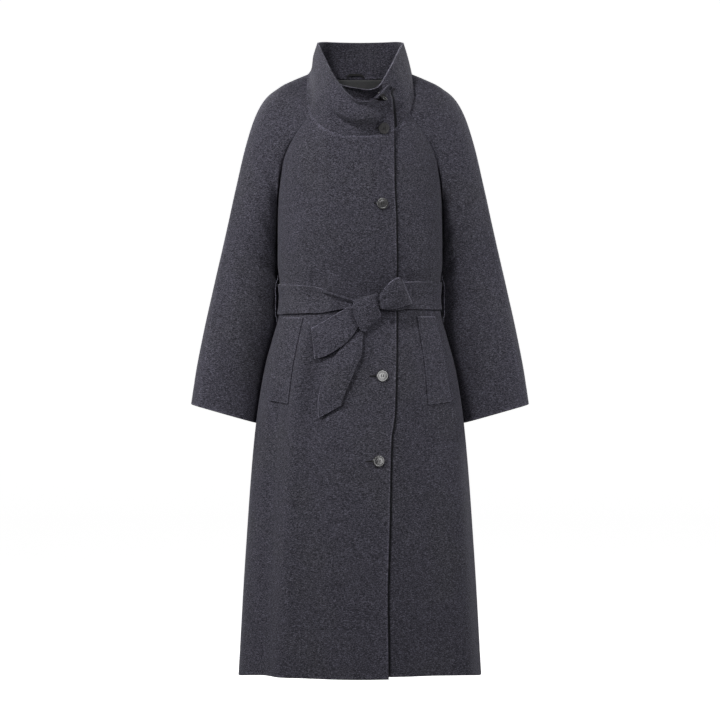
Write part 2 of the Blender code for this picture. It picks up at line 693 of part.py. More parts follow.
def back_grid():
    """The same for the back, columns from the wearer's right side seam to the left one."""
    across = np.linspace(-1, 1, BACK_COLUMNS + 1)
    turns = []
    heights = []
    for z in level_z:
        turn = 180 + 90 * across
        turns.append(turn)
        heights.append(z + hem_drop((turn + 180) % 360 - 180, z, "right_z"))
    raglan = path(BACK_RAGLAN, RAGLAN_COLUMNS, yoke_rise)
    raglan_turn = turn_at(raglan["x"], raglan["z"], back=True)
    raglan_turn[0] = 90.0
    half = path(BACK_NECK[::-1], NECK_COLUMNS, np.linspace(0, 1, BACK_COLUMNS // 2 + 1))
    half_turn = turn_at(half["x"], half["z"], back=True)
    top_turn = np.concatenate([half_turn, 360 - half_turn[-2::-1]])
    top_z = np.concatenate([half["z"], half["z"][-2::-1]])
    for i, rise in enumerate(yoke_rise[1:], start=1):
        turn = 180 + (180 - raglan_turn[i]) * across
        corner = 180 + (180 - raglan_turn[-1]) * across
        turns.append(turn + rise * (top_turn - corner))
        heights.append(raglan["z"][i] + rise * (top_z - raglan["z"][-1]))
    return np.array(turns)[:, ::-1], np.array(heights)[:, ::-1]


right_turn, right_z = front_grid(RIGHT_COLUMNS, -1, edge_x, "right_z")
left_turn, left_z = front_grid(LEFT_COLUMNS, 1, lambda z: UNDERLAP_X + 0 * z, "left_z")
right_under = body(right_turn, right_z)
left_grid = body(left_turn, left_z)
back_points = body(*back_grid())
right_lift = lap_lift(right_under[..., 0], right_z)[..., None]
right_grid = right_under + grid_normals(right_under, BODY_MIDDLE) * right_lift


# ---- sleeves -----------------------------------------------------------------------------------
def sleeve_grid(side, raglan, cap, face):
    """Half of a sleeve: rows from the neck and raglan seam down to the cuff.

    raglan runs from the underarm up, cap on from there to the top of the shoulder; face is -1 for
    the front half. Columns run from the underarm to the seam along the top of the arm.
    """
    start = np.concatenate([raglan, cap])
    across = walk_shares(start)
    even = np.linspace(0, 1, len(across))
    stack = [start]
    for i, row in enumerate(SLEEVE_RINGS, start=1):
        ring = dict(zip(SLEEVE_COLUMNS, row))
        spread = across + (even - across) * min(1, i / SLEEVE_EVEN_RINGS)
        turn = 180 - (180 + face * ring["seam_turn"]) * spread
        sine, cosine, grow = squared_round(turn, ring["square"])
        top = np.array([side * ring["out"], ring["y"], ring["z"]])
        low = np.array([side * ring["in_out"], ring["y"], ring["in_z"]])
        middle = (top + low) / 2
        points = middle + (top - middle) * (cosine * grow)[:, None]
        points = points + np.array([0, face * ring["deep"], 0]) * (sine * grow)[:, None]
        stack.append(points)
    stack = np.array(stack)
    length = walk_shares(stack.mean(axis=1))
    places = np.linspace(0, 1, SLEEVE_ROWS + 1) ** SLEEVE_CROWDING
    rows = np.zeros((SLEEVE_ROWS + 1, len(across), 3))
    for j in range(len(across)):
        line = np.column_stack([length, stack[:, j]])
        rows[:, j] = stacked(along(line, ("at", "x", "y", "z"), "at", places))
    normal = grid_normals(rows)
    centre = rows.mean(axis=1, keepdims=True)
    if np.median(np.einsum("ijk,ijk->ij", normal, rows - centre)) < 0:
        normal = -normal
    around = np.linspace(180, 0, len(across)) * (1 if face < 0 else -1) % 360
    high = np.zeros(rows.shape[:2])
    for row in SLEEVE_CREASES:
        crease = dict(zip(SLEEVE_CREASE_COLUMNS, row))
        off = (around[None, :] - crease["turn"] + 180) % 360 - 180
        down = places[:, None] - crease["along"] - crease["slant"] * off
        shape = np.exp(-((down / crease["along_wide"]) ** 2) - (off / crease["turn_wide"]) ** 2)
        high += crease["high"] * shape
    return rows + normal * high[..., None], normal


def cap_line(side, start, middle, end):
    """Neck edge across the shoulder, from a raglan seam's top to the seam on top of the arm."""
    points = [start] + [(side * x, y, z) for x, y, z in middle] + [end]
    return stacked(path(points, CAP_NECK_COLUMNS, np.linspace(0, 1, CAP_COLUMNS + 1)))[1:]


sleeves = {}
SIDES = ((-1, "right", right_grid, 0), (1, "left", left_grid, -1))
for side, label, front_panel, back_column in SIDES:
    front_raglan = front_panel[level:, 0]
    back_raglan = back_points[level:, back_column]
    shoulder = np.array(CAP_NECK[1]) * (side, 1, 1)
    front_cap = cap_line(side, front_raglan[-1], CAP_NECK[:1], shoulder)
    back_cap = cap_line(side, back_raglan[-1], CAP_NECK[2:], shoulder)
    sleeves[label, "front"] = sleeve_grid(side, front_raglan, front_cap, -1)
    sleeves[label, "back"] = sleeve_grid(side, back_raglan, back_cap, 1)

# The two halves share their last columns along the arm, and their directions there.
for label in ("right", "left"):
    front, back = sleeves[label, "front"], sleeves[label, "back"]
    for column in (0, -1):
        middle = (front[0][:, column] + back[0][:, column]) / 2
        both = unit(front[1][:, column] + back[1][:, column])
        for half in (front, back):
            half[0][:, column] = middle
            half[1][:, column] = both

# ---- collar ------------------------------------------------------------------------------------
def neck_ring():
    """Neck edge in one run, from the free edge of the upper front to that of the under front."""
    run = [right_grid[-1, ::-1]]
    run.append(sleeves["right", "front"][0][0, YOKE_ROWS + 1 :])
    run.append(sleeves["right", "back"][0][0, YOKE_ROWS:-1][::-1])
    run.append(back_points[-1, 1:])
    run.append(sleeves["left", "back"][0][0, YOKE_ROWS + 1 :])
    run.append(sleeves["left", "front"][0][0, YOKE_ROWS:-1][::-1])
    run.append(left_grid[-1, 1:])
    return np.concatenate(run)


neck = neck_ring()
neck_turn = np.degrees(np.unwrap(np.arctan2(neck[:, 0], -neck[:, 1])))
top_edge = along(COLLAR_TOP, COLLAR_COLUMNS, "turn", neck_turn)
top_points = stacked(top_edge)
collar_share = np.linspace(0, 1, COLLAR_ROWS)
drape = along(DRAPE, DRAPE_COLUMNS, "share", collar_share)
outward = unit(np.stack([neck[:, 0], neck[:, 1], 0 * neck[:, 0]], axis=-1))
collar_grid = neck[None] + (top_points - neck)[None] * collar_share[:, None, None]
weight = top_edge["drape"][None, :, None]
collar_grid = collar_grid + weight * drape["out"][:, None, None] * outward[None]
collar_grid[..., 2] += weight[..., 0] * drape["drop"][:, None]
stand = np.sin(math.pi * collar_share)[:, None, None] * COLLAR_STAND
collar_grid = collar_grid + (1 - weight) * stand * outward[None]
collar_normal = grid_normals(collar_grid, COLLAR_MIDDLE)

# ---- shared directions at the seams, then the walls of the coat ---------------------------------
right_normal = grid_normals(right_grid, BODY_MIDDLE)
left_normal = grid_normals(left_grid, BODY_MIDDLE)
back_normal = grid_normals(back_points, BODY_MIDDLE)


def share(*borders):
    """Gives borders that meet one direction, halfway between their own."""
    both = unit(sum(borders))
    for border in borders:
        border[...] = both


sleeve_top = {key: value[1][0] for key, value in sleeves.items()}
share(right_normal[:level, 0], back_normal[:level, 0])
share(left_normal[:level, 0], back_normal[:level, -1])
share(right_normal[level + 1 :, 0], sleeve_top["right", "front"][1 : YOKE_ROWS + 1])
share(left_normal[level + 1 :, 0], sleeve_top["left", "front"][1 : YOKE_ROWS + 1])
share(back_normal[level + 1 :, 0], sleeve_top["right", "back"][1 : YOKE_ROWS + 1])
share(back_normal[level + 1 :, -1], sleeve_top["left", "back"][1 : YOKE_ROWS + 1])

# Round the neck each piece shares the collar's direction, evened out along the ring.
to_shoulder = slice(YOKE_ROWS, None)
from_shoulder = slice(None, YOKE_ROWS - 1, -1)
neck_borders = (
    right_normal[-1, ::-1],
    sleeve_top["right", "front"][to_shoulder],
    sleeve_top["right", "back"][from_shoulder],
    back_normal[-1],
    sleeve_top["left", "back"][to_shoulder],
    sleeve_top["left", "front"][from_shoulder],
    left_normal[-1],
)
neck_normal = collar_normal[0]
beside = np.zeros(neck_normal.shape)
start = 0
for border in neck_borders:
    beside[start : start + len(border)] += border
    start += len(border) - 1
both = unit(neck_normal + unit(beside))
for _ in range(NECK_EVENING):
    padded = np.concatenate([both[:1], both, both[-1:]])
    both = unit(padded[:-2] + 2 * padded[1:-1] + padded[2:])
neck_normal[...] = both
start = 0
for border in neck_borders:
    border[...] = both[start : start + len(border)]
    start += len(border) - 1
for front_normal, side, label in ((right_normal, 0, "right"), (left_normal, -1, "left")):
    front, back = sleeve_top[label, "front"], sleeve_top[label, "back"]
    share(front_normal[level, 0], back_normal[level, side], front[0], back[0])

SEWN_SIDE_AND_NECK = ((1, 0), (0, -1))
wall("front_right", right_grid, right_normal, CLOTH, wool, SEWN_SIDE_AND_NECK)
wall("front_left", left_grid, left_normal, CLOTH, wool, SEWN_SIDE_AND_NECK)
wall("back", back_points, back_normal, CLOTH, wool, ((1, 0), (1, -1), (0, -1)))
for (label, half), (grid, normal) in sleeves.items():
    wall(f"sleeve_{label}_{half}", grid, normal, CLOTH, wool, ((0, 0), (1, 0), (1, -1)))
wall("collar", collar_grid, collar_normal, COLLAR_CLOTH, wool, ((0, 0),))

# ---- things that lie on the fronts --------------------------------------------------------------
def faces_of(grid, start):
    """The triangles that closed_wall gives a grid whose points are numbered from start."""
    rows, columns = grid.shape[:2]
    index = np.arange(rows * columns).reshape(rows, columns) + start
    a, b, c, d = index[:-1, :-1], index[:-1, 1:], index[1:, 1:], index[1:, :-1]
    cells = np.stack([a, b, c, a, c, d], axis=-1).reshape(-1, 3)
    return [tuple(int(v) for v in cell) for cell in cells]


def tree_of(*grids):
    points = []
    faces = []
    for grid in grids:
        faces += faces_of(grid, len(points))
        points += [tuple(p) for p in grid.reshape(-1, 3)]
    return BVHTree.FromPolygons(points, faces)


def front_at(tree, x, z):
    """Point of the foremost cloth at x and z."""
    point, _, _, _ = tree.ray_cast(Vector((x, -1, z)), Vector((0, 1, 0)))
    return np.array(point)


def seat(tree, x, z, radius):
    """Where a flat round thing of this radius rests on the fronts, and its outward direction."""
    angles = np.arange(SEAT_POINTS) * 2 * math.pi / SEAT_POINTS
    ring = np.array([front_at(tree, x + radius * math.cos(a), z + radius * math.sin(a)) for a in angles])
    quarter = SEAT_POINTS // 4
    across = ring[0] - ring[2 * quarter]
    up = ring[quarter] - ring[3 * quarter]
    normal = unit(np.cross(across, up))
    points = np.concatenate([ring, [front_at(tree, x, z)]])
    middle = ring.mean(axis=0)
    highest = ((points - middle) @ normal).max()
    return middle + normal * highest, normal


def on_coat(tree, turns, heights):
    """Points of the panels' own facets in the directions asked for, seen from the coat's axis."""
    aim = body(turns, heights)
    found = np.zeros(aim.shape)
    for i in np.ndindex(turns.shape):
        start = Vector((0, 0, aim[i][2]))
        point, _, _, _ = tree.ray_cast(start, (Vector(aim[i]) - start).normalized())
        found[i] = point
    return found


def belt_grid():
    """The belt round the waist, from the knot round the wearer's right side and back to the knot."""
    turn = np.linspace(*BELT_TURNS, BELT_POINTS)
    height = along(BELT_HEIGHTS, BELT_COLUMNS, "turn", turn)
    share_down = np.linspace(0, 1, len(BELT_STRANDS))[:, None]
    z = height["top_z"] + (height["low_z"] - height["top_z"]) * share_down
    base = on_coat(under_layers, np.broadcast_to(turn, z.shape), z)
    edge = edge_x(z)
    over = LAP_LIFT * ease(base[..., 0], LAP_START_X, LAP_FULL_X)
    over = over * (1 - ease(base[..., 0], edge, edge + BELT_PAST_EDGE)) * (base[..., 1] < 0)
    strands = np.array(BELT_STRANDS)[:, None] * ease(turn, *BELT_STRAND_TURNS)
    normal = grid_normals(base, WAIST_MIDDLE)
    return base + normal * (over + BELT_OFF + BELT_CLOTH + strands)[..., None]


def ribbon_grid(table, stations, across):
    """A stretch of belt laid out from its table, standing off the fronts."""
    key = np.arange(len(table)) / (len(table) - 1)
    rows = along(np.column_stack([key, table]), ("at",) + RIBBON_COLUMNS, "at", np.linspace(0, 1, stations))
    share_over = np.linspace(0, 1, across)
    grid = np.zeros((stations, across, 3))
    for i in range(stations):
        for j, s in enumerate(share_over):
            x = rows["x_a"][i] + (rows["x_b"][i] - rows["x_a"][i]) * s
            z = rows["z_a"][i] + (rows["z_b"][i] - rows["z_a"][i]) * s
            off = rows["off_a"][i] + (rows["off_b"][i] - rows["off_a"][i]) * s
            off += rows["crown"][i] * (1 - (2 * s - 1) ** 2)
            grid[i, j] = body(turn_at(x, z), z) - (0, off + LAP_LIFT, 0)
    return grid


under_layers = tree_of(back_points, left_grid, right_under)
belt = belt_grid()
wall("belt_band", belt, grid_normals(belt, WAIST_MIDDLE), BELT_CLOTH, wool)
for name, table, stations, across in RIBBONS:
    grid = ribbon_grid(table, stations, across)
    normal = grid_normals(grid)
    if normal[stations // 3, across // 2, 1] > 0:
        normal = -normal
    wall(name, grid, normal, BELT_CLOTH, wool)


def welt_grid(corners):
    """Four corners on the skirt, joined by a patch of its surface."""
    top_out, top_in, low_in, low_out = np.array(corners)
    down = np.linspace(0, 1, WELT_GRID[0])[:, None, None]
    over = np.linspace(0, 1, WELT_GRID[1])[None, :, None]
    left = top_out + (low_out - top_out) * down
    right = top_in + (low_in - top_in) * down
    flat = left + (right - left) * over
    base = on_coat(under_layers, flat[..., 0], flat[..., 1])
    normal = grid_normals(base, BODY_MIDDLE)
    open_share = 1 - over[..., 0]
    thick = WELT_CLOTH * (WELT_SEWN_SHARE + (1 - WELT_SEWN_SHARE) * open_share)
    off = WELT_OFF[0] + (WELT_OFF[1] - WELT_OFF[0]) * open_share
    return base + normal * (off + thick)[..., None], normal, thick


for name, corners in (("pocket_welt_right", WELT_RIGHT), ("pocket_welt_left", WELT_LEFT)):
    grid, normal, thick = welt_grid(corners)
    wall(name, grid, normal, thick, wool)

for name, side in (("belt_carrier_right", -1), ("belt_carrier_left", 1)):
    strip = named(CARRIER, CARRIER_COLUMNS)
    z_grid, turn_grid = np.meshgrid(strip["z"], side * np.linspace(*CARRIER_TURNS, 3), indexing="ij")
    grid = body(turn_grid, z_grid) + np.array([side, 0, 0]) * strip["off"][:, None, None]
    wall(name, grid, grid_normals(grid, WAIST_MIDDLE), CARRIER_CLOTH, wool)

# ---- inside the neck -----------------------------------------------------------------------------
z_grid, turn_grid = np.meshgrid(
    np.linspace(*FACING_Z, FACING_GRID[0]), np.linspace(*FACING_TURNS, FACING_GRID[1]), indexing="ij"
)
base = body(turn_grid, z_grid)
inward = -grid_normals(base, SHOULDER_MIDDLE)
wall("neck_facing", base + inward * (CLOTH + FACING_OFF + FACING_CLOTH), inward, FACING_CLOTH, facing)

line = path(HANGER, HANGER_COLUMNS, np.linspace(0, 1, HANGER_POINTS))
base = body(turn_at(line["x"], line["z"], back=True), line["z"]) - (0, COLLAR_CLOTH + HANGER_OFF + TAPE, 0)
grid = np.stack([base + (0, 0, HANGER_HALF), base - (0, 0, HANGER_HALF)])
forward = np.broadcast_to((0.0, -1.0, 0.0), grid.shape)
wall("hanger_loop", grid, forward, TAPE, tape)


# ---- buttons -------------------------------------------------------------------------------------
def button_mesh(name):
    """A turned disc with a dished middle and rounded rim."""
    built = bmesh.new()
    rings = []
    for radius, height in BUTTON_PROFILE:
        if radius == 0:
            rings.append([built.verts.new((0, 0, height * BUTTON_THICK))])
            continue
        ring = []
        for k in range(BUTTON_SIDES):
            angle = 2 * math.pi * k / BUTTON_SIDES
            ring.append(
                built.verts.new(
                    (
                        radius * BUTTON_RADIUS * math.cos(angle),
                        radius * BUTTON_RADIUS * math.sin(angle),
                        height * BUTTON_THICK,
                    )
                )
            )
        rings.append(ring)
    for first, second in zip(rings, rings[1:]):
        for k in range(BUTTON_SIDES):
            n = (k + 1) % BUTTON_SIDES
            if len(first) == 1:
                built.faces.new((first[0], second[k], second[n]))
            elif len(second) == 1:
                built.faces.new((first[k], second[0], first[n]))
            else:
                built.faces.new((first[k], second[k], second[n], first[n]))
    bmesh.ops.recalc_face_normals(built, faces=built.faces)
    mesh = bpy.data.meshes.new(name)
    built.to_mesh(mesh)
    built.free()
    return mesh


def sewing_holes():
    """Four rods that cut the sewing holes of every button."""
    built = bmesh.new()
    for x in (-1, 1):
        for y in (-1, 1):
            made = bmesh.ops.create_cone(
                built,
                cap_ends=True,
                segments=BUTTON_HOLE_SIDES,
                radius1=BUTTON_HOLE_RADIUS,
                radius2=BUTTON_HOLE_RADIUS,
                depth=4 * BUTTON_THICK,
            )
            move = Vector((x * BUTTON_HOLE_SPREAD / 2, y * BUTTON_HOLE_SPREAD / 2, 0))
            bmesh.ops.translate(built, verts=made["verts"], vec=move)
    mesh = bpy.data.meshes.new("sewing_holes")
    built.to_mesh(mesh)
    built.free()
    cutter = bpy.data.objects.new("sewing_holes", mesh)
    bpy.context.scene.collection.objects.link(cutter)
    cutter.hide_render = True
    cutter.display_type = "WIRE"
    return cutter


fronts = tree_of(right_grid, left_grid, collar_grid)
for number, (x, z) in enumerate(BUTTONS, start=1):
    name = f"button_{number}"
    button = bpy.data.objects.new(name, button_mesh(name))
    button.data.materials.append(horn)
    bpy.context.scene.collection.objects.link(button)
    point, normal = seat(fronts, x, z, BUTTON_RADIUS * SEAT_SHARE)
    button.location = Vector(point + normal * BUTTON_OFF)
    button.rotation_euler = Vector(normal).to_track_quat("Z", "Y").to_euler()
    cutter = sewing_holes()
    cutter.name = f"sewing_holes_{number}"
    cutter.parent = button
    cut = button.modifiers.new("holes", "BOOLEAN")
    cut.operation = "DIFFERENCE"
    cut.solver = "EXACT"
    cut.object = cutter
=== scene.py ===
import math

import bmesh
import bpy
import numpy as np
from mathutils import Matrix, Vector
from mathutils.bvhtree import BVHTree


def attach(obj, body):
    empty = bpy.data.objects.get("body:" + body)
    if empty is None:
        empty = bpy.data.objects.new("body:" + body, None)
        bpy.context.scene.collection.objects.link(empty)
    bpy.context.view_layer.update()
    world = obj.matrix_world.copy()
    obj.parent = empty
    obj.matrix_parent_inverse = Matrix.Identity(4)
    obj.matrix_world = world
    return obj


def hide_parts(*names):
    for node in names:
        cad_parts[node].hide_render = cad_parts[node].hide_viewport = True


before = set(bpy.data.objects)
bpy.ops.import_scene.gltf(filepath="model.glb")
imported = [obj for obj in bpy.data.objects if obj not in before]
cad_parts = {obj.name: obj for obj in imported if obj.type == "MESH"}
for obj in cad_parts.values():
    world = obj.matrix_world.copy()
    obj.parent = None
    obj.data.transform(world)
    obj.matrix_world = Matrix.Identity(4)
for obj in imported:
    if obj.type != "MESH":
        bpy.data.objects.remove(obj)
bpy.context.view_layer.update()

# ---- Camera ------------------------------------------------------------------------------------
# Stands level with the middle of the coat, 6 m in front of it, with a long lens, so that the coat
# is seen nearly square on.
CAMERA_AT = (0.0, -6.0, -0.576)
CAMERA_LENS = 150.0
camera_data = bpy.data.cameras.new("camera")
camera_data.lens = CAMERA_LENS
camera_data.sensor_width = 36.0
camera = bpy.data.objects.new("camera", camera_data)
camera.location = CAMERA_AT
camera.rotation_euler = (math.pi / 2, 0, 0)
bpy.context.scene.collection.objects.link(camera)
bpy.context.scene.camera = camera

# ---- Back --------------------------------------------------------------------------------------
# One piece of brushed wool coating from the neck to the hem, sewn to the fronts down the sides and
# to the sleeves along the raglan seams. It hangs from the shoulders in soft folds below the belt.
MM = 0.001
COATING_THICK = 2.4 * MM
HEM_Z = -1.205
HEM_EVENING_Z = -1.0
WAIST_LOW_Z = -0.487
WAIST_TOP_Z = -0.425
UNDERARM_Z = -0.262
BODY_MIDDLE = (0, 0, -0.6)
# Level sections from hem to neck. Front and back half widths differ above the arms.
SECTION_COLUMNS = ("z", "front_half", "back_half", "front_deep", "back_deep", "square")
SECTIONS = (
    (-1.206, 0.2425, 0.2425, 0.174, 0.172, 2.05),
    (-0.950, 0.2275, 0.2275, 0.166, 0.164, 2.05),
    (-0.700, 0.2075, 0.2075, 0.151, 0.148, 2.10),
    (-0.590, 0.1900, 0.1900, 0.139, 0.135, 2.10),
    (-0.530, 0.1740, 0.1740, 0.129, 0.123, 2.10),
    (-0.487, 0.1620, 0.1620, 0.118, 0.110, 2.10),
    (-0.455, 0.1580, 0.1580, 0.115, 0.106, 2.10),
    (-0.425, 0.1600, 0.1600, 0.119, 0.109, 2.15),
    (-0.380, 0.1645, 0.1645, 0.130, 0.115, 2.20),
    (-0.320, 0.1645, 0.1645, 0.139, 0.120, 2.25),
    (-0.250, 0.1640, 0.1640, 0.143, 0.123, 2.30),
    (-0.190, 0.1615, 0.1610, 0.140, 0.123, 2.30),
    (-0.139, 0.1460, 0.1560, 0.132, 0.119, 2.30),
    (-0.088, 0.1250, 0.1460, 0.116, 0.110, 2.30),
    (-0.040, 0.1150, 0.1240, 0.100, 0.096, 2.20),
    (-0.003, 0.1080, 0.1020, 0.085, 0.079, 2.20),
)
# Folds that run down the coat: where they start and end, how wide they are there, and how high. Turns
# are in degrees round the coat from the middle front, and grow toward the wearer's left.
FOLD_COLUMNS = ("turn_top", "z_top", "turn_low", "z_low", "wide_top", "wide_low", "high_top", "high_low")
FOLDS = (
    (-36, -0.485, -38, -1.206, 5, 7, 0.0088, 0.0098),
    (-53, -0.640, -52, -1.206, 5, 7, -0.0078, -0.0062),
    (-23, -0.495, -22, -0.900, 7, 12, -0.0040, -0.0010),
    (33, -0.660, 36, -1.206, 9, 9, -0.0055, -0.0050),
    (62, -0.640, 58, -1.206, 10, 11, 0.0050, 0.0080),
    (-76, -0.690, -72, -1.206, 8, 10, 0.0020, 0.0050),
    (116, -0.700, 110, -1.206, 9, 11, 0.0050, 0.0090),
    (134, -0.500, 130, -1.206, 7, 10, -0.0060, -0.0080),
    (158, -0.490, 156, -1.206, 8, 11, 0.0070, 0.0080),
    (180, -0.520, 181, -1.206, 8, 10, -0.0050, -0.0070),
    (-157, -0.490, -154, -1.206, 8, 11, 0.0065, 0.0085),
    (-133, -0.500, -129, -1.206, 7, 10, -0.0055, -0.0080),
    (-116, -0.700, -109, -1.206, 9, 11, 0.0050, 0.0085),
    (-46, -0.300, -33, -0.408, 6, 5, 0.0010, 0.0045),
    (-24, -0.300, -20, -0.408, 7, 5, -0.0005, -0.0040),
    (50, -0.310, 40, -0.408, 7, 6, 0.0008, 0.0040),
    (143, -0.280, 150, -0.408, 9, 7, 0.0010, 0.0060),
    (180, -0.300, 180, -0.408, 10, 8, -0.0005, -0.0040),
    (-143, -0.280, -150, -0.408, 9, 7, 0.0010, 0.0055),
)
# Narrow folds and gathers that the belt draws into the cloth, and creases beside the larger folds.
GATHERS = (
    (-37.5, -0.488, -39, -0.535, 1.8, 3.0, -0.0045, -0.0004),
    (-30.5, -0.488, -34, -0.620, 4.2, 5.5, 0.0045, 0.0012),
    (-58, -0.488, -60, -0.590, 2.2, 4.0, 0.0014, 0.0002),
    (-9, -0.488, -10, -0.560, 2.2, 4.5, -0.0012, -0.0002),
    (20, -0.488, 22, -0.580, 2.2, 4.0, -0.0014, -0.0002),
    (31, -0.488, 33, -0.600, 2.4, 4.2, 0.0015, 0.0003),
    (49, -0.488, 51, -0.600, 2.4, 4.2, -0.0013, -0.0002),
    (70, -0.488, 71, -0.610, 3.0, 4.6, 0.0012, 0.0002),
    (-26, -0.318, -24, -0.420, 2.2, 1.8, -0.0004, -0.0022),
    (-13, -0.340, -12, -0.420, 2.2, 1.8, 0.0002, 0.0014),
    (-38, -0.350, -34, -0.420, 2.4, 1.8, -0.0002, -0.0016),
    (34, -0.345, 31, -0.420, 2.2, 1.8, 0.0002, 0.0014),
    (60, -0.350, 54, -0.420, 2.4, 2.0, -0.0002, -0.0014),
    (124, -0.488, 125, -0.600, 2.4, 4.6, 0.0018, 0.0003),
    (147, -0.488, 148, -0.620, 2.0, 4.2, -0.0020, -0.0003),
    (170, -0.488, 171, -0.600, 2.2, 4.0, 0.0018, 0.0003),
    (-170, -0.488, -169, -0.580, 2.0, 4.0, -0.0014, -0.0002),
    (-145, -0.488, -146, -0.610, 2.2, 4.4, 0.0019, 0.0003),
    (-124, -0.488, -126, -0.590, 2.4, 4.2, -0.0016, -0.0003),
    (135, -0.335, 140, -0.420, 2.4, 1.8, 0.0003, 0.0018),
    (164, -0.345, 166, -0.420, 2.2, 1.8, -0.0002, -0.0016),
    (-167, -0.340, -166, -0.420, 2.2, 1.8, 0.0002, 0.0016),
    (-138, -0.330, -142, -0.420, 2.4, 1.8, -0.0003, -0.0018),
)
# A fold rises and fades over these heights at its top and at its lower end.
FOLD_FADE = 0.035
FOLD_RISE = 0.010
FOLD_END = (-0.012, 0.006)
FOLD_TO_HEM_Z = -1.1
# The turned-up hem shows through as a faint line, 5 cm above the edge.
HEM_TURN_UP = 0.050
HEM_LINE_DEEP = 0.35 * MM
HEM_LINE_WIDE = 2.6 * MM
# The hem's height round the coat, where it differs between the upper front and the under one.
HEM_COLUMNS = ("turn", "right_z", "left_z")
HEM = (
    (-30, -1.1975, -1.1925),
    (0, -1.1975, -1.1925),
    (28, -1.1965, -1.1930),
    (50, -1.1960, -1.1950),
    (90, -1.2045, -1.2045),
    (180, -1.2050, -1.2050),
)
RAGLAN_COLUMNS = ("x", "z")
BACK_RAGLAN = (
    (0.1640, -0.262),
    (0.1590, -0.195),
    (0.1350, -0.125),
    (0.1000, -0.060),
    (0.0650, -0.004),
)
NECK_COLUMNS = ("x", "z")
BACK_NECK = (
    (0.000, -0.0090),
    (0.035, -0.0080),
    (0.065, -0.0040),
)
SKIRT_ROWS = 104
WAIST_ROWS = 8
BODICE_ROWS = 26
YOKE_ROWS = 26
BACK_COLUMNS = 92
HALVINGS = 40


def slopes(x, y):
    """Slopes of a smooth curve through table rows that never overshoots them."""
    step = np.diff(x)
    rise = np.diff(y) / step
    slope = np.zeros(len(x))
    slope[0] = rise[0]
    slope[-1] = rise[-1]
    for i in range(1, len(x) - 1):
        if rise[i - 1] * rise[i] > 0:
            first = 2 * step[i] + step[i - 1]
            second = step[i] + 2 * step[i - 1]
            slope[i] = (first + second) / (first / rise[i - 1] + second / rise[i])
    return slope


def along(table, columns, key, at):
    """Every column of a table at the places asked for, as smooth curves of its key column."""
    data = np.array(table, dtype=float)
    data = data[np.argsort(data[:, columns.index(key)])]
    x = data[:, columns.index(key)]
    at = np.clip(np.asarray(at, dtype=float), x[0], x[-1])
    cell = np.clip(np.searchsorted(x, at, side="right") - 1, 0, len(x) - 2)
    width = x[cell + 1] - x[cell]
    t = (at - x[cell]) / width
    found = {}
    for i, name in enumerate(columns):
        y = data[:, i]
        slope = slopes(x, y)
        found[name] = (
            y[cell] * (1 + 2 * t) * (1 - t) ** 2
            + width * slope[cell] * t * (1 - t) ** 2
            + y[cell + 1] * t * t * (3 - 2 * t)
            - width * slope[cell + 1] * t * t * (1 - t)
        )
    return found


def walk_shares(points):
    """How far along a run of points each one lies, as a share of the run's length."""
    length = np.concatenate([[0], np.cumsum(np.linalg.norm(np.diff(points, axis=0), axis=1))])
    return length / length[-1]


def path(points, columns, shares):
    """Every column at shares of the length of a smooth line through the given points."""
    points = np.array(points, dtype=float)
    return along(np.column_stack([walk_shares(points), points]), ("at",) + columns, "at", shares)


def ease(x, low, high):
    """Soft step from 0 at low to 1 at high."""
    t = np.clip((np.asarray(x, dtype=float) - low) / (high - low), 0, 1)
    return t * t * (3 - 2 * t)


def unit(vectors):
    return vectors / np.maximum(np.linalg.norm(vectors, axis=-1, keepdims=True), 1e-12)


def squared_round(turn, square):
    """Sine and cosine of a turn, and what they grow by on an oval squared off by this power."""
    angle = np.radians(turn)
    sine = np.sin(angle)
    cosine = np.cos(angle)
    return sine, cosine, (np.abs(sine) ** square + np.abs(cosine) ** square) ** (-1 / square)


def fold_height(turn, z, folds):
    """Sum of the folds at a place on the body, outward positive."""
    total = np.zeros(np.broadcast(turn, z).shape)
    for row in folds:
        fold = dict(zip(FOLD_COLUMNS, row))
        inside = np.clip((z - fold["z_top"]) / (fold["z_low"] - fold["z_top"]), 0, 1)
        centre = fold["turn_top"] + (fold["turn_low"] - fold["turn_top"]) * inside
        wide = fold["wide_top"] + (fold["wide_low"] - fold["wide_top"]) * inside
        high = fold["high_top"] + (fold["high_low"] - fold["high_top"]) * inside
        off = (turn - centre + 180) % 360 - 180
        from_top = ease(fold["z_top"] - z, -FOLD_RISE, FOLD_FADE)
        from_low = 1 if fold["z_low"] < FOLD_TO_HEM_Z else ease(z - fold["z_low"], *FOLD_END)
        total = total + high * np.exp(-((off / wide) ** 2)) * from_top * from_low
    hem_line = np.exp(-(((z - HEM_Z - HEM_TURN_UP) / HEM_LINE_WIDE) ** 2))
    return total - HEM_LINE_DEEP * hem_line


def body(turn, z, folds=FOLDS + GATHERS):
    """Point of the coat's outer surface; turn in degrees from the middle front."""
    turn = np.asarray(turn, dtype=float)
    z = np.asarray(z, dtype=float)
    cut = along(SECTIONS, SECTION_COLUMNS, "z", z)
    sine, cosine, grow = squared_round(turn, cut["square"])
    half = np.where(cosine > 0, cut["front_half"], cut["back_half"])
    deep = np.where(cosine > 0, cut["front_deep"], cut["back_deep"])
    x = half * grow * sine
    y = -deep * grow * cosine
    flat = unit(np.stack([x / half**2, y / deep**2], axis=-1))
    high = fold_height(turn, z, folds)
    return np.stack([x + flat[..., 0] * high, y + flat[..., 1] * high, z + 0 * x], axis=-1)


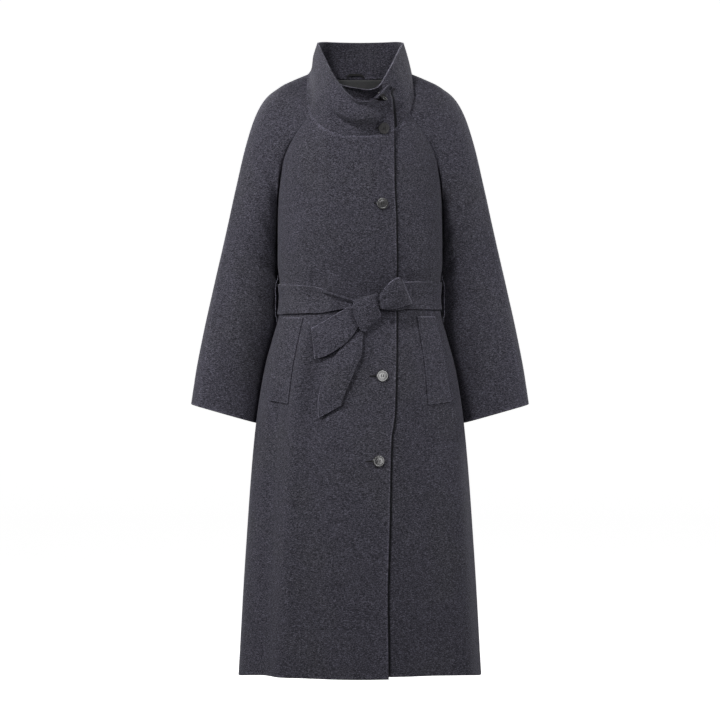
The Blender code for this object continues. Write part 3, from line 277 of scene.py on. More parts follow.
def turn_at(x, z, folds=FOLDS + GATHERS, back=False):
    """Turn where the body has this x at this height; found by halving."""
    x, z = np.broadcast_arrays(np.asarray(x, dtype=float), np.asarray(z, dtype=float))
    low = np.zeros(x.shape)
    high = np.full(x.shape, 90.0)
    for _ in range(HALVINGS):
        middle = (low + high) / 2
        less = np.abs(body(180 - middle if back else middle, z, folds)[..., 0]) < np.abs(x)
        low = np.where(less, middle, low)
        high = np.where(less, high, middle)
    found = 180 - low if back else low
    return np.where(x < 0, -found, found)


def grid_normals(grid, away_from=None):
    """Unit normals of a grid of points, turned away from a point if one is given."""
    normal = unit(np.cross(np.gradient(grid, axis=1), np.gradient(grid, axis=0)))
    if away_from is not None:
        side = np.einsum("ijk,ijk->ij", normal, grid - np.asarray(away_from))
        if np.median(side) < 0:
            normal = -normal
    return normal


def hem_drop(turn, z, column):
    """What a panel's lower rows move by to meet its hem line."""
    to_hem = along(HEM, HEM_COLUMNS, "turn", np.abs(turn))[column] - HEM_Z
    return to_hem * (1 - ease(z, HEM_Z, HEM_EVENING_Z))


level_z = np.concatenate(
    [
        np.linspace(HEM_Z, WAIST_LOW_Z, SKIRT_ROWS),
        np.linspace(WAIST_LOW_Z, WAIST_TOP_Z, WAIST_ROWS)[1:-1],
        np.linspace(WAIST_TOP_Z, UNDERARM_Z, BODICE_ROWS),
    ]
)
underarm_row = len(level_z) - 1
yoke_rise = np.linspace(0, 1, YOKE_ROWS + 1)


def back_grid():
    """Turns and heights of the back's points, columns from the wearer's right side to the left."""
    across = np.linspace(-1, 1, BACK_COLUMNS + 1)
    turns = []
    heights = []
    for z in level_z:
        turn = 180 + 90 * across
        turns.append(turn)
        heights.append(z + hem_drop((turn + 180) % 360 - 180, z, "right_z"))
    raglan = path(BACK_RAGLAN, RAGLAN_COLUMNS, yoke_rise)
    raglan_turn = turn_at(raglan["x"], raglan["z"], back=True)
    raglan_turn[0] = 90.0
    half = path(BACK_NECK[::-1], NECK_COLUMNS, np.linspace(0, 1, BACK_COLUMNS // 2 + 1))
    half_turn = turn_at(half["x"], half["z"], back=True)
    top_turn = np.concatenate([half_turn, 360 - half_turn[-2::-1]])
    top_z = np.concatenate([half["z"], half["z"][-2::-1]])
    for i, rise in enumerate(yoke_rise[1:], start=1):
        turn = 180 + (180 - raglan_turn[i]) * across
        corner = 180 + (180 - raglan_turn[-1]) * across
        turns.append(turn + rise * (top_turn - corner))
        heights.append(raglan["z"][i] + rise * (top_z - raglan["z"][-1]))
    return np.array(turns)[:, ::-1], np.array(heights)[:, ::-1]


# How the edge of a piece is finished: how far its faces draw back from it, and how deep the line
# between them lies. A sewn edge dips a little where it meets its neighbour, and a seam of the body
# dips the same way in both pieces. A free edge rolls right round. Last is how much painted
# highlight the edge's colour gets.
SEAM_MIDDLE_Z = -0.25
BODY_SEAM = (0.8 * MM, 0.55 * MM, True, 0.15)
NECK_SEAM = (0.5 * MM, 0.25 * MM, True, 0.40)
FREE_EDGE = (1.0 * MM, None, False, 0.45)
# Direction the painted light comes from: edges facing it get painted highlight, edges turned away painted
# shade.
PAINTED_LIGHT_FROM = np.array([-0.72, -0.10, 0.69])
PAINTED_LIGHT_CATCH = 1.25
PAINTED_HIGHLIGHT_MOST = 0.8


def seam_way(points):
    """Directions out of the body at its seams, away from the middle of the chest or, below, its axis."""
    middle = np.zeros(points.shape)
    middle[:, 2] = np.minimum(points[:, 2], SEAM_MIDDLE_Z)
    return unit(points - middle)


def finished_edges(outer, through, rim, painted_light_level, edges):
    """What a piece's faces move by at its edges, and the painted light and shade round its rim.

    The rim is sunk into the seams, and each edge's painted highlight goes into painted_light_level.
    """
    moves = np.zeros(outer.shape)
    turned = np.zeros(painted_light_level.shape)
    for (axis, end), (draw, deep, on_body, painted_edge_light) in zip(((0, 0), (0, -1), (1, 0), (1, -1)), edges):
        edge = np.take(outer, end, axis=axis)
        beside = np.take(outer, 1 if end == 0 else outer.shape[axis] - 2, axis=axis)
        run = unit(np.gradient(edge, axis=0))
        way = beside - edge
        way = unit(way - np.einsum("ij,ij->i", way, run)[:, None] * run) * draw
        place = (end, slice(None)) if axis == 0 else (slice(None), end)
        moves[place] += way
        painted_light_level[place] = painted_edge_light
        if deep is None:
            facing = -PAINTED_LIGHT_CATCH * (unit(way) @ PAINTED_LIGHT_FROM)
            turned[place] = np.clip(facing, -1, PAINTED_HIGHLIGHT_MOST * painted_edge_light)
        else:
            rim[place] = outer[place] - (seam_way(edge) if on_body else through[place]) * deep
    return moves, turned


def closed_faces(rows, columns):
    """Faces of an outer grid, of an inner one and of the rim between them, and the places on the rim."""
    count = rows * columns
    index = np.arange(count).reshape(rows, columns)
    a, b, c, d = index[:-1, :-1], index[:-1, 1:], index[1:, 1:], index[1:, :-1]
    front = np.stack([a, b, c, d], axis=-1).reshape(-1, 4)
    loop = np.concatenate([index[0, :], index[1:, -1], index[-1, -2::-1], index[-2:0:-1, 0]])
    following = np.roll(loop, -1)
    rim_index = 2 * count + np.arange(len(loop))
    rim_following = np.roll(rim_index, -1)
    upper = np.stack([following, loop, rim_index, rim_following], axis=-1)
    lower = np.stack([rim_following, rim_index, loop + count, following + count], axis=-1)
    return np.concatenate([front, front[:, ::-1] + count, upper, lower]), loop


def cloth_piece(name, outer, through, thick, edges, material, painted_light_level=0.0):
    """Cloth with an outer face, an inner face and finished edges.

    edges gives the finish of the first and last row and of the first and last column;
    painted_light_level gives the painted highlight (above 0) or painted shade (below 0) at each point,
    and along each edge it is set by that edge's finish.
    """
    rows, columns = outer.shape[:2]
    thick = np.broadcast_to(np.asarray(thick, dtype=float), (rows, columns))
    inner = outer - through * thick[..., None]
    rim = outer - through * (thick / 2)[..., None]
    painted_light_level = np.zeros((rows, columns)) + painted_light_level
    moves, turned = finished_edges(outer, through, rim, painted_light_level, edges)
    outer = outer + moves
    inner = inner + moves
    faces, loop = closed_faces(rows, columns)
    points = np.concatenate([outer.reshape(-1, 3), inner.reshape(-1, 3), rim.reshape(-1, 3)[loop]])
    mesh = bpy.data.meshes.new(name)
    mesh.from_pydata(points.tolist(), [], faces.tolist())
    shaped = bmesh.new()
    shaped.from_mesh(mesh)
    bmesh.ops.recalc_face_normals(shaped, faces=shaped.faces)
    if shaped.calc_volume(signed=True) < 0:
        bmesh.ops.reverse_faces(shaped, faces=shaped.faces)
    shaped.to_mesh(mesh)
    shaped.free()
    mesh.polygons.foreach_set("use_smooth", [True] * len(mesh.polygons))
    # Painted light and shade goes to the material as a point attribute: painted highlight along edges,
    # painted shade beside laps and under edges.
    painted_at_points = painted_light_level.reshape(-1)
    painted_light_and_shade = mesh.attributes.new("painted_light_and_shade", "FLOAT", "POINT")
    painted_light_and_shade.data.foreach_set("value", np.concatenate([painted_at_points, np.minimum(painted_at_points, 0), turned.reshape(-1)[loop]]))
    mesh.materials.append(material)
    piece = bpy.data.objects.new(name, mesh)
    bpy.context.scene.collection.objects.link(piece)
    return piece


def group_with(name, inputs, outputs):
    """A new node group with the named sockets, and its two end nodes."""
    group = bpy.data.node_groups.new(name, "ShaderNodeTree")
    for label, kind, value in inputs:
        socket = group.interface.new_socket(name=label, in_out="INPUT", socket_type=kind)
        socket.default_value = value
    for label, kind in outputs:
        group.interface.new_socket(name=label, in_out="OUTPUT", socket_type=kind)
    return group, group.nodes.new("NodeGroupInput"), group.nodes.new("NodeGroupOutput")


def calculation(tree, operation, first, second):
    """A Math node; each value is a number or a socket."""
    node = tree.nodes.new("ShaderNodeMath")
    node.operation = operation
    for place, value in enumerate((first, second)):
        if isinstance(value, (int, float)):
            node.inputs[place].default_value = value
        else:
            tree.links.new(value, node.inputs[place])
    return node.outputs[0]


def noise(tree, scale, detail, rough, coordinates):
    """Noise of this many features a metre; scale is a number or a socket."""
    node = tree.nodes.new("ShaderNodeTexNoise")
    node.inputs["Detail"].default_value = detail
    node.inputs["Roughness"].default_value = rough
    tree.links.new(coordinates, node.inputs["Vector"])
    if isinstance(scale, (int, float)):
        node.inputs["Scale"].default_value = scale
    else:
        tree.links.new(scale, node.inputs["Scale"])
    return node.outputs["Fac"]


def stretched(tree, coordinates, stretch):
    """Coordinates scaled by a different amount along each axis."""
    node = tree.nodes.new("ShaderNodeVectorMath")
    node.operation = "MULTIPLY"
    tree.links.new(coordinates, node.inputs[0])
    node.inputs[1].default_value = stretch
    return node.outputs[0]


# Flecks of fibre over the lines of the weft, which show more than those of the warp, with finer
# fibres on top. Broad clouds and warmer patches come from uneven dyeing.
WEFT_STRETCH = (0.30, 0.30, 1.25)
WARP_STRETCH = (1.25, 1.25, 0.30)
FINE_TIMES = 2.6
FLECK_SHARE = 0.84
WEFT_SHARE = 0.52
WARP_SHARE = 0.12
FINE_SHARE = 0.25
GRAIN_MIDDLE = 0.865
GRAIN_SPREAD = 3.4
LIGHTNESS_MIDDLE = 0.46
LIGHTNESS_POWER = 1.9
NAP_FINE_SHARE = 0.6
CLOUDS_A_METRE = 16.0
PATCHES_A_METRE = 7.0
PATCH_FROM = 0.47
PATCH_SPREAD = 7.0


def melange_group():
    """Fibres of two tones carded together: how light the cloth is at each point, and its nap."""
    group, asked, given = group_with(
        "melange wool",
        (
            ("Grain", "NodeSocketFloat", 430.0),
            ("Contrast", "NodeSocketFloat", 1.0),
            ("Cloud", "NodeSocketFloat", 0.2),
        ),
        (("Lightness", "NodeSocketFloat"), ("Nap", "NodeSocketFloat"), ("Warmth", "NodeSocketFloat")),
    )

    def times(first, second):
        return calculation(group, "MULTIPLY", first, second)

    def plus(first, second):
        return calculation(group, "ADD", first, second)

    def minus(first, second):
        return calculation(group, "SUBTRACT", first, second)

    place = group.nodes.new("ShaderNodeTexCoord").outputs["Object"]
    flecks = noise(group, asked.outputs["Grain"], 2.0, 0.65, place)
    weft = noise(group, asked.outputs["Grain"], 1.0, 0.5, stretched(group, place, WEFT_STRETCH))
    warp = noise(group, asked.outputs["Grain"], 1.0, 0.5, stretched(group, place, WARP_STRETCH))
    fine = noise(group, times(asked.outputs["Grain"], FINE_TIMES), 1.0, 0.5, place)
    cloud = noise(group, CLOUDS_A_METRE, 3.0, 0.55, place)
    threads = plus(times(weft, WEFT_SHARE), times(warp, WARP_SHARE))
    grain = plus(plus(times(flecks, FLECK_SHARE), threads), times(fine, FINE_SHARE))
    spread = times(times(minus(grain, GRAIN_MIDDLE), GRAIN_SPREAD), asked.outputs["Contrast"])
    clouds = times(minus(cloud, 0.5), asked.outputs["Cloud"])
    light = plus(plus(spread, clouds), LIGHTNESS_MIDDLE)
    light.node.use_clamp = True
    group.links.new(calculation(group, "POWER", light, LIGHTNESS_POWER), given.inputs["Lightness"])
    group.links.new(plus(grain, times(fine, NAP_FINE_SHARE)), given.inputs["Nap"])
    patches = noise(group, PATCHES_A_METRE, 4.0, 0.55, place)
    warm = times(minus(patches, PATCH_FROM), PATCH_SPREAD)
    warm.node.use_clamp = True
    group.links.new(warm, given.inputs["Warmth"])
    return group


melange = melange_group()
# Painted highlight makes the colour along an edge paler by up to this many times; painted shade
# beneath an edge darkens it to this share.
PAINTED_EDGE_HIGHLIGHT = 3.0
EDGE_SHADED = 0.15
NAP_BUMP = 0.55
WOOL_ROUGH = 0.93
WOOL_GLOSS = 0.22
SHEEN_ROUGH = 0.55
SHEEN_TINT = (0.80, 0.80, 0.92, 1)


def mapped(tree, value, from_low, from_high, to_low, to_high):
    """A value taken from one range to another, and held at that range's ends."""
    node = tree.nodes.new("ShaderNodeMapRange")
    node.inputs["From Min"].default_value = from_low
    node.inputs["From Max"].default_value = from_high
    node.inputs["To Min"].default_value = to_low
    node.inputs["To Max"].default_value = to_high
    tree.links.new(value, node.inputs["Value"])
    return node.outputs["Result"]


def new_material(name):
    """A material, its node tree and its shader."""
    made = bpy.data.materials.new(name)
    made.use_nodes = True
    return made, made.node_tree, made.node_tree.nodes["Principled BSDF"]


def wool_material(name, dark, light, warm_tint, grain, contrast, cloud, nap_deep, sheen):
    """Brushed melange cloth, with painted highlight along edges and painted shade beneath them."""
    made, tree, shader = new_material(name)
    # The painted light and shade attribute scales the cloth's colour.
    painted_light_and_shade = tree.nodes.new("ShaderNodeAttribute")
    painted_light_and_shade.attribute_name = "painted_light_and_shade"
    over_edge = mapped(tree, painted_light_and_shade.outputs["Fac"], 0.0, 1.0, 1.0, PAINTED_EDGE_HIGHLIGHT)
    under_edge = mapped(tree, painted_light_and_shade.outputs["Fac"], -1.0, 0.0, EDGE_SHADED, 1.0)
    at_edge = calculation(tree, "MULTIPLY", over_edge, under_edge)
    fibres = tree.nodes.new("ShaderNodeGroup")
    fibres.node_tree = melange
    fibres.inputs["Grain"].default_value = grain
    fibres.inputs["Contrast"].default_value = contrast
    fibres.inputs["Cloud"].default_value = cloud
    tones = tree.nodes.new("ShaderNodeMix")
    tones.data_type = "RGBA"
    tones.inputs["A"].default_value = (*dark, 1)
    tones.inputs["B"].default_value = (*light, 1)
    tree.links.new(fibres.outputs["Lightness"], tones.inputs["Factor"])
    tint = tree.nodes.new("ShaderNodeMix")
    tint.data_type = "RGBA"
    tint.blend_type = "MULTIPLY"
    tint.inputs["B"].default_value = (*warm_tint, 1)
    tree.links.new(fibres.outputs["Warmth"], tint.inputs["Factor"])
    tree.links.new(tones.outputs["Result"], tint.inputs["A"])
    painted_edge_light = tree.nodes.new("ShaderNodeVectorMath")
    painted_edge_light.operation = "SCALE"
    tree.links.new(tint.outputs["Result"], painted_edge_light.inputs[0])
    tree.links.new(at_edge, painted_edge_light.inputs["Scale"])
    tree.links.new(painted_edge_light.outputs["Vector"], shader.inputs["Base Color"])
    bump = tree.nodes.new("ShaderNodeBump")
    bump.inputs["Strength"].default_value = NAP_BUMP
    bump.inputs["Distance"].default_value = nap_deep
    tree.links.new(fibres.outputs["Nap"], bump.inputs["Height"])
    tree.links.new(bump.outputs["Normal"], shader.inputs["Normal"])
    shader.inputs["Roughness"].default_value = WOOL_ROUGH
    shader.inputs["Specular IOR Level"].default_value = WOOL_GLOSS
    shader.inputs["Sheen Weight"].default_value = sheen
    shader.inputs["Sheen Roughness"].default_value = SHEEN_ROUGH
    shader.inputs["Sheen Tint"].default_value = SHEEN_TINT
    return made


COATING_DARK = (0.017, 0.0164, 0.0218)
COATING_LIGHT = (0.158, 0.1522, 0.1985)
COATING_WARM = (1.00, 1.01, 0.965)
coating = wool_material(
    "wool coating",
    COATING_DARK,
    COATING_LIGHT,
    COATING_WARM,
    grain=720.0,
    contrast=0.88,
    cloud=0.10,
    nap_deep=0.3 * MM,
    sheen=0.10,
)


def dressed(piece, nodes):
    """Hangs a cloth piece on the coat's root and hides the model's parts that it stands for."""
    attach(piece, "root")
    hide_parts(*nodes)


back_points = body(*back_grid())
back_piece = cloth_piece(
    "back_panel",
    back_points,
    grid_normals(back_points, BODY_MIDDLE),
    COATING_THICK,
    (FREE_EDGE, NECK_SEAM, BODY_SEAM, BODY_SEAM),
    coating,
)
dressed(back_piece, ["back"])

# ---- Fronts ------------------------------------------------------------------------------------
# Two pieces of the same coating. The wearer's right one laps over the left and is buttoned through;
# its edge is turned and pressed, so it is a little thicker there. The left one runs on under it.
LAP_LIFT = 3.8 * MM
LAP_LIFT_AT_NECK = 6.6 * MM
LAP_RISE_Z = (-0.24, -0.14)
LAP_START_X = -0.085
LAP_FULL_X = -0.058
UNDERLAP_X = -0.052
# The turned edge stands up as a ridge, pressed down under the belt between these heights.
EDGE_RIDGE_HIGH = 3.2 * MM
EDGE_RIDGE_WIDE = 8.0 * MM
EDGE_PRESSED_Z = (-0.515, -0.495, -0.418, -0.398)
EDGE_PRESSED = 0.75
TURNED_EDGE = (1.4 * MM, None, False, 0.35)
# A narrow line of painted shadow lies on the under front beside that edge.
PAINTED_SHADOW_MIDDLE = 1.0 * MM
PAINTED_SHADOW_WIDE = (2.8 * MM, 5.0 * MM)
NECK_FRONT_Z = -0.139
NECK_POINTS_APART = 0.004
EDGE_COLUMNS = ("z", "x")
FRONT_EDGE = (
    (-0.139, 0.0645),
    (-0.236, 0.0664),
    (-0.300, 0.0692),
    (-0.420, 0.0706),
    (-0.490, 0.0706),
    (-0.670, 0.0675),
    (-0.700, 0.0650),
    (-0.730, 0.0605),
    (-0.900, 0.0568),
    (-1.040, 0.0533),
    (-1.198, 0.0550),
)
FRONT_NECK = (
    (0.000, -0.1390),
    (0.030, -0.1385),
    (0.062, -0.1270),
    (0.082, -0.1100),
    (0.098, -0.0880),
)
FRONT_RAGLAN = (
    (0.1640, -0.262),
    (0.1610, -0.205),
    (0.1420, -0.155),
    (0.1200, -0.118),
    (0.0980, -0.088),
)
RIGHT_COLUMNS = 82
LEFT_COLUMNS = 170


def edge_x(z):
    """Where the upper front's edge lies."""
    return along(FRONT_EDGE, EDGE_COLUMNS, "z", z)["x"]


def lap_lift(x, z):
    """How far the upper front stands out over the under one."""
    full = LAP_LIFT + (LAP_LIFT_AT_NECK - LAP_LIFT) * ease(z, *LAP_RISE_Z)
    return full * ease(x, LAP_START_X, LAP_FULL_X)


def between(first, last, row, across):
    """Even steps from one line's value to another's, in one row."""
    return first[row] + (last[row] - first[row]) * across


def front_grid(columns, side, inner_edge, hem_column):
    """Turns and heights of a front's points: rows from hem to neck, columns from side to edge."""
    across = np.linspace(0, 1, columns)
    turns = []
    heights = []
    start = side * 90.0
    for z, end in zip(level_z, turn_at(inner_edge(level_z), level_z)):
        turn = start + (end - start) * across
        turns.append(turn)
        heights.append(z + hem_drop(turn, z, hem_column))
    raglan = path(FRONT_RAGLAN, RAGLAN_COLUMNS, yoke_rise)
    raglan_turn = side * turn_at(raglan["x"], raglan["z"])
    raglan_turn[0] = side * 90.0
    neck_x, neck_z = np.array(FRONT_NECK).T
    end_x = abs(inner_edge(NECK_FRONT_Z))
    past = [(-x, z) for x, z in FRONT_NECK[1:] if x < end_x - NECK_POINTS_APART]
    end = (-end_x, np.interp(end_x, neck_x, neck_z))
    top = path(list(FRONT_NECK[::-1]) + past + [end], NECK_COLUMNS, across)
    top_turn = side * turn_at(top["x"], top["z"])
    free_z = UNDERARM_Z + (top["z"][-1] - UNDERARM_Z) * yoke_rise
    free_turn = turn_at(inner_edge(free_z), free_z)
    bottom_turn = turns[-1]
    for i, rise in enumerate(yoke_rise[1:], start=1):
        turn = between(raglan_turn, free_turn, i, across)
        turn = turn + (1 - rise) * (bottom_turn - between(raglan_turn, free_turn, 0, across))
        turn = turn + rise * (top_turn - between(raglan_turn, free_turn, -1, across))
        height = between(raglan["z"], free_z, i, across)
        turns.append(turn)
        heights.append(height + rise * (top["z"] - between(raglan["z"], free_z, -1, across)))
    return np.array(turns), np.array(heights)


right_turn, right_z = front_grid(RIGHT_COLUMNS, -1, edge_x, "right_z")
right_under = body(right_turn, right_z)
from_edge = edge_x(right_z) - right_under[..., 0]
pressed = EDGE_PRESSED * ease(right_z, *EDGE_PRESSED_Z[:2]) * (1 - ease(right_z, *EDGE_PRESSED_Z[2:]))
ridge = EDGE_RIDGE_HIGH * (1 - pressed) * np.exp(-((from_edge / EDGE_RIDGE_WIDE) ** 2))
right_lift = lap_lift(right_under[..., 0], right_z) + ridge
right_points = right_under + grid_normals(right_under, BODY_MIDDLE) * right_lift[..., None]
right_piece = cloth_piece(
    "right_front",
    right_points,
    grid_normals(right_points, BODY_MIDDLE),
    COATING_THICK,
    (FREE_EDGE, NECK_SEAM, BODY_SEAM, TURNED_EDGE),
    coating,
)
dressed(right_piece, ["front_right"])



def underlap_x(z):
    """Where the under front's edge lies, out of sight: upright, so at the same x for every height."""
    return UNDERLAP_X + 0 * z


left_points = body(*front_grid(LEFT_COLUMNS, 1, underlap_x, "left_z"))
# Painted shadow in a narrow line on the under front beside the upper front's edge.
past_edge = np.abs(left_points[..., 0] - edge_x(left_points[..., 2]) - PAINTED_SHADOW_MIDDLE)
left_piece = cloth_piece(
    "left_front",
    left_points,
    grid_normals(left_points, BODY_MIDDLE),
    COATING_THICK,
    (FREE_EDGE, NECK_SEAM, BODY_SEAM, FREE_EDGE),
    coating,
    -1.0 * (1 - ease(past_edge, *PAINTED_SHADOW_WIDE)),
)
dressed(left_piece, ["front_left"])

# ---- Sleeves -----------------------------------------------------------------------------------
# Raglan sleeves of the same coating, each of a front and a back half sewn together along the top of
# the arm and under it. They widen to a cuff whose turned-up hem shows as a faint line 4 cm up.
CAP_COLUMNS = 9
SLEEVE_CUTS = {"front": ((0.19, 0.76), 0.098), "back": ((0.25, 0.80), 0.142)}
SLEEVE_ROWS = 104
ARM_SEAM = (0.8 * MM, 0.55 * MM, False, 0.15)
SLEEVE_CROWDING = 1.15
SLEEVE_EVEN_RINGS = 4
# Below the shoulder the seam along the top of the arm stands up as a ridge.
RIDGE_HIGH = 4.5 * MM
RIDGE_WIDE = 20 * MM
RIDGE_GROWS = (0.04, 0.30)
CUFF_TURN_UP = 0.040
CUFF_LINE_DEEP = 0.35 * MM
CUFF_LINE_WIDE = 2.6 * MM
# The neck edge across the shoulder: before, on and behind the seam on top of the arm.
CAP_NECK = (
    (0.1065, -0.034, -0.040),
    (0.1040, 0.004, -0.004),
    (0.0880, 0.044, 0.001),
)
# Rings across the arm: the outermost and innermost points, the middle's y and half the depth.
SLEEVE_COLUMNS = ("out", "z", "in_out", "in_z", "y", "deep", "seam_turn", "square")
SLEEVE_RINGS = (
    (0.1420, -0.0205, 0.1665, -0.272, 0.003, 0.064, 0, 2.0),
    (0.1830, -0.0475, 0.1642, -0.284, 0.012, 0.068, 6, 2.0),
    (0.2040, -0.0790, 0.1645, -0.300, 0.018, 0.069, 12, 2.05),
    (0.2240, -0.1370, 0.1642, -0.318, 0.022, 0.069, 18, 2.1),
    (0.2475, -0.2330, 0.1632, -0.352, 0.031, 0.067, 24, 2.15),
    (0.2770, -0.3570, 0.1592, -0.415, 0.046, 0.063, 30, 2.15),
    (0.2955, -0.4360, 0.1600, -0.482, 0.048, 0.059, 34, 2.2),
    (0.3125, -0.5130, 0.1800, -0.556, 0.043, 0.054, 39, 2.25),
    (0.3285, -0.5950, 0.1965, -0.636, 0.039, 0.049, 44, 2.3),
    (0.3390, -0.6650, 0.2070, -0.7025, 0.033, 0.044, 49, 2.4),
)
# Creases round the arm, deepest at the elbow: share of the sleeve's length, turn round the arm, how
# long and wide they are, how much they slant, and how high.
SLEEVE_CREASE_COLUMNS = ("along", "turn", "along_wide", "turn_wide", "slant", "high")
SLEEVE_CREASES = (
    (0.30, 120, 0.050, 55, 0.0012, -0.0030),
    (0.47, 138, 0.030, 50, 0.0010, -0.0040),
    (0.53, 160, 0.028, 60, 0.0010, 0.0030),
    (0.60, 140, 0.030, 60, 0.0012, -0.0035),
    (0.42, 40, 0.050, 40, 0.0010, 0.0020),
    (0.72, 110, 0.050, 50, 0.0014, -0.0025),
    (0.50, 215, 0.035, 50, -0.0010, -0.0040),
    (0.58, 230, 0.035, 50, -0.0010, 0.0030),
    (0.36, 100, 0.016, 42, 0.0016, -0.0011),
    (0.50, 118, 0.014, 46, 0.0015, 0.0012),
    (0.56, 96, 0.014, 34, 0.0018, -0.0011),
    (0.66, 128, 0.016, 40, 0.0014, 0.0010),
    (0.79, 92, 0.018, 36, 0.0020, -0.0009),
    (0.45, 250, 0.015, 36, -0.0014, -0.0012),
    (0.54, 205, 0.014, 40, -0.0012, -0.0011),
    (0.63, 240, 0.016, 40, -0.0014, 0.0010),
    (0.74, 262, 0.018, 34, -0.0018, -0.0009),
)


def stacked(found):
    """Points from the x, y and z columns of a table."""
    return np.stack([found[name] for name in ("x", "y", "z")], axis=-1)


def sleeve_grid(side, raglan, cap, face):
    """Half of a sleeve: rows from the neck and raglan seam down to the cuff, and its normals.

    raglan runs from the underarm up, cap on from there to the top of the shoulder; face is -1 for
    the front half. Columns run from the underarm to the seam along the top of the arm.
    """
    start = np.concatenate([raglan, cap])
    across = walk_shares(start)
    even = np.linspace(0, 1, len(across))
    stack = [start]
    for i, row in enumerate(SLEEVE_RINGS, start=1):
        ring = dict(zip(SLEEVE_COLUMNS, row))
        spread = across + (even - across) * min(1, i / SLEEVE_EVEN_RINGS)
        turn = 180 - (180 + face * ring["seam_turn"]) * spread
        sine, cosine, grow = squared_round(turn, ring["square"])
        top = np.array([side * ring["out"], ring["y"], ring["z"]])
        low = np.array([side * ring["in_out"], ring["y"], ring["in_z"]])
        middle = (top + low) / 2
        points = middle + (top - middle) * (cosine * grow)[:, None]
        stack.append(points + np.array([0, face * ring["deep"], 0]) * (sine * grow)[:, None])
    stack = np.array(stack)
    length = walk_shares(stack.mean(axis=1))
    places = np.linspace(0, 1, SLEEVE_ROWS + 1) ** SLEEVE_CROWDING
    rows = np.zeros((SLEEVE_ROWS + 1, len(across), 3))
    for j in range(len(across)):
        line = np.column_stack([length, stack[:, j]])
        rows[:, j] = stacked(along(line, ("at", "x", "y", "z"), "at", places))
    normal = grid_normals(rows)
    if np.median(np.einsum("ijk,ijk->ij", normal, rows - rows.mean(axis=1, keepdims=True))) < 0:
        normal = -normal
    around = np.linspace(180, 0, len(across)) * (1 if face < 0 else -1) % 360
    high = np.zeros(rows.shape[:2])
    for row in SLEEVE_CREASES:
        crease = dict(zip(SLEEVE_CREASE_COLUMNS, row))
        off = (around[None, :] - crease["turn"] + 180) % 360 - 180
        down = places[:, None] - crease["along"] - crease["slant"] * off
        spread = (down / crease["along_wide"]) ** 2 + (off / crease["turn_wide"]) ** 2
        high += crease["high"] * np.exp(-spread)
    to_seam = np.linalg.norm(rows - rows[:, -1:], axis=2)
    high += RIDGE_HIGH * ease(places, *RIDGE_GROWS)[:, None] * np.exp(-to_seam / RIDGE_WIDE)
    to_cuff = np.linalg.norm(rows - rows[-1:], axis=2)
    high -= CUFF_LINE_DEEP * np.exp(-(((to_cuff - CUFF_TURN_UP) / CUFF_LINE_WIDE) ** 2))
    return rows + normal * high[..., None], normal


def cap_line(side, start, middle, end):
    """Neck edge across the shoulder, from a raglan seam's top to the seam on top of the arm."""
    points = [start] + [(side * x, y, z) for x, y, z in middle] + [end]
    return stacked(path(points, ("x", "y", "z"), np.linspace(0, 1, CAP_COLUMNS + 1)))[1:]


sleeve_points = {}
for side, label, panel, column in ((-1, "right", right_points, 0), (1, "left", left_points, -1)):
    front_raglan = panel[underarm_row:, 0]
    back_raglan = back_points[underarm_row:, column]
    shoulder = np.array(CAP_NECK[1]) * (side, 1, 1)
    front_cap = cap_line(side, front_raglan[-1], CAP_NECK[:1], shoulder)
    back_cap = cap_line(side, back_raglan[-1], CAP_NECK[2:], shoulder)
    front_half, front_normal = sleeve_grid(side, front_raglan, front_cap, -1)
    back_half, back_normal = sleeve_grid(side, back_raglan, back_cap, 1)
    for seam in (0, -1):
        middle = (front_half[:, seam] + back_half[:, seam]) / 2
        both = unit(front_normal[:, seam] + back_normal[:, seam])
        front_half[:, seam] = middle
        back_half[:, seam] = middle
        front_normal[:, seam] = both
        back_normal[:, seam] = both
    for half, points, normal in (("front", front_half, front_normal), ("back", back_half, back_normal)):
        sleeve_points[label, half] = points
        piece = cloth_piece(
            f"{label}_sleeve_{half}",
            points,
            normal,
            COATING_THICK,
            (BODY_SEAM, FREE_EDGE, ARM_SEAM, ARM_SEAM),
            coating,
        )
        flat, area = SLEEVE_CUTS[half]
        dressed(piece, [f"sleeve_{label}_{half}"])

# ---- Collar ------------------------------------------------------------------------------------
# A tall strip of doubled coating sewn round the whole neck edge. It stands at the back, and in
# front its upper layer slumps into a soft roll and is buttoned to the layer under it.
COLLAR_THICK = 4.2 * MM
COLLAR_STAND = 1.0 * MM
COLLAR_MIDDLE = (0, -0.02, -0.04)
COLLAR_ROWS = 66
COLLAR_EDGE = (1.7 * MM, None, False, 0.70)
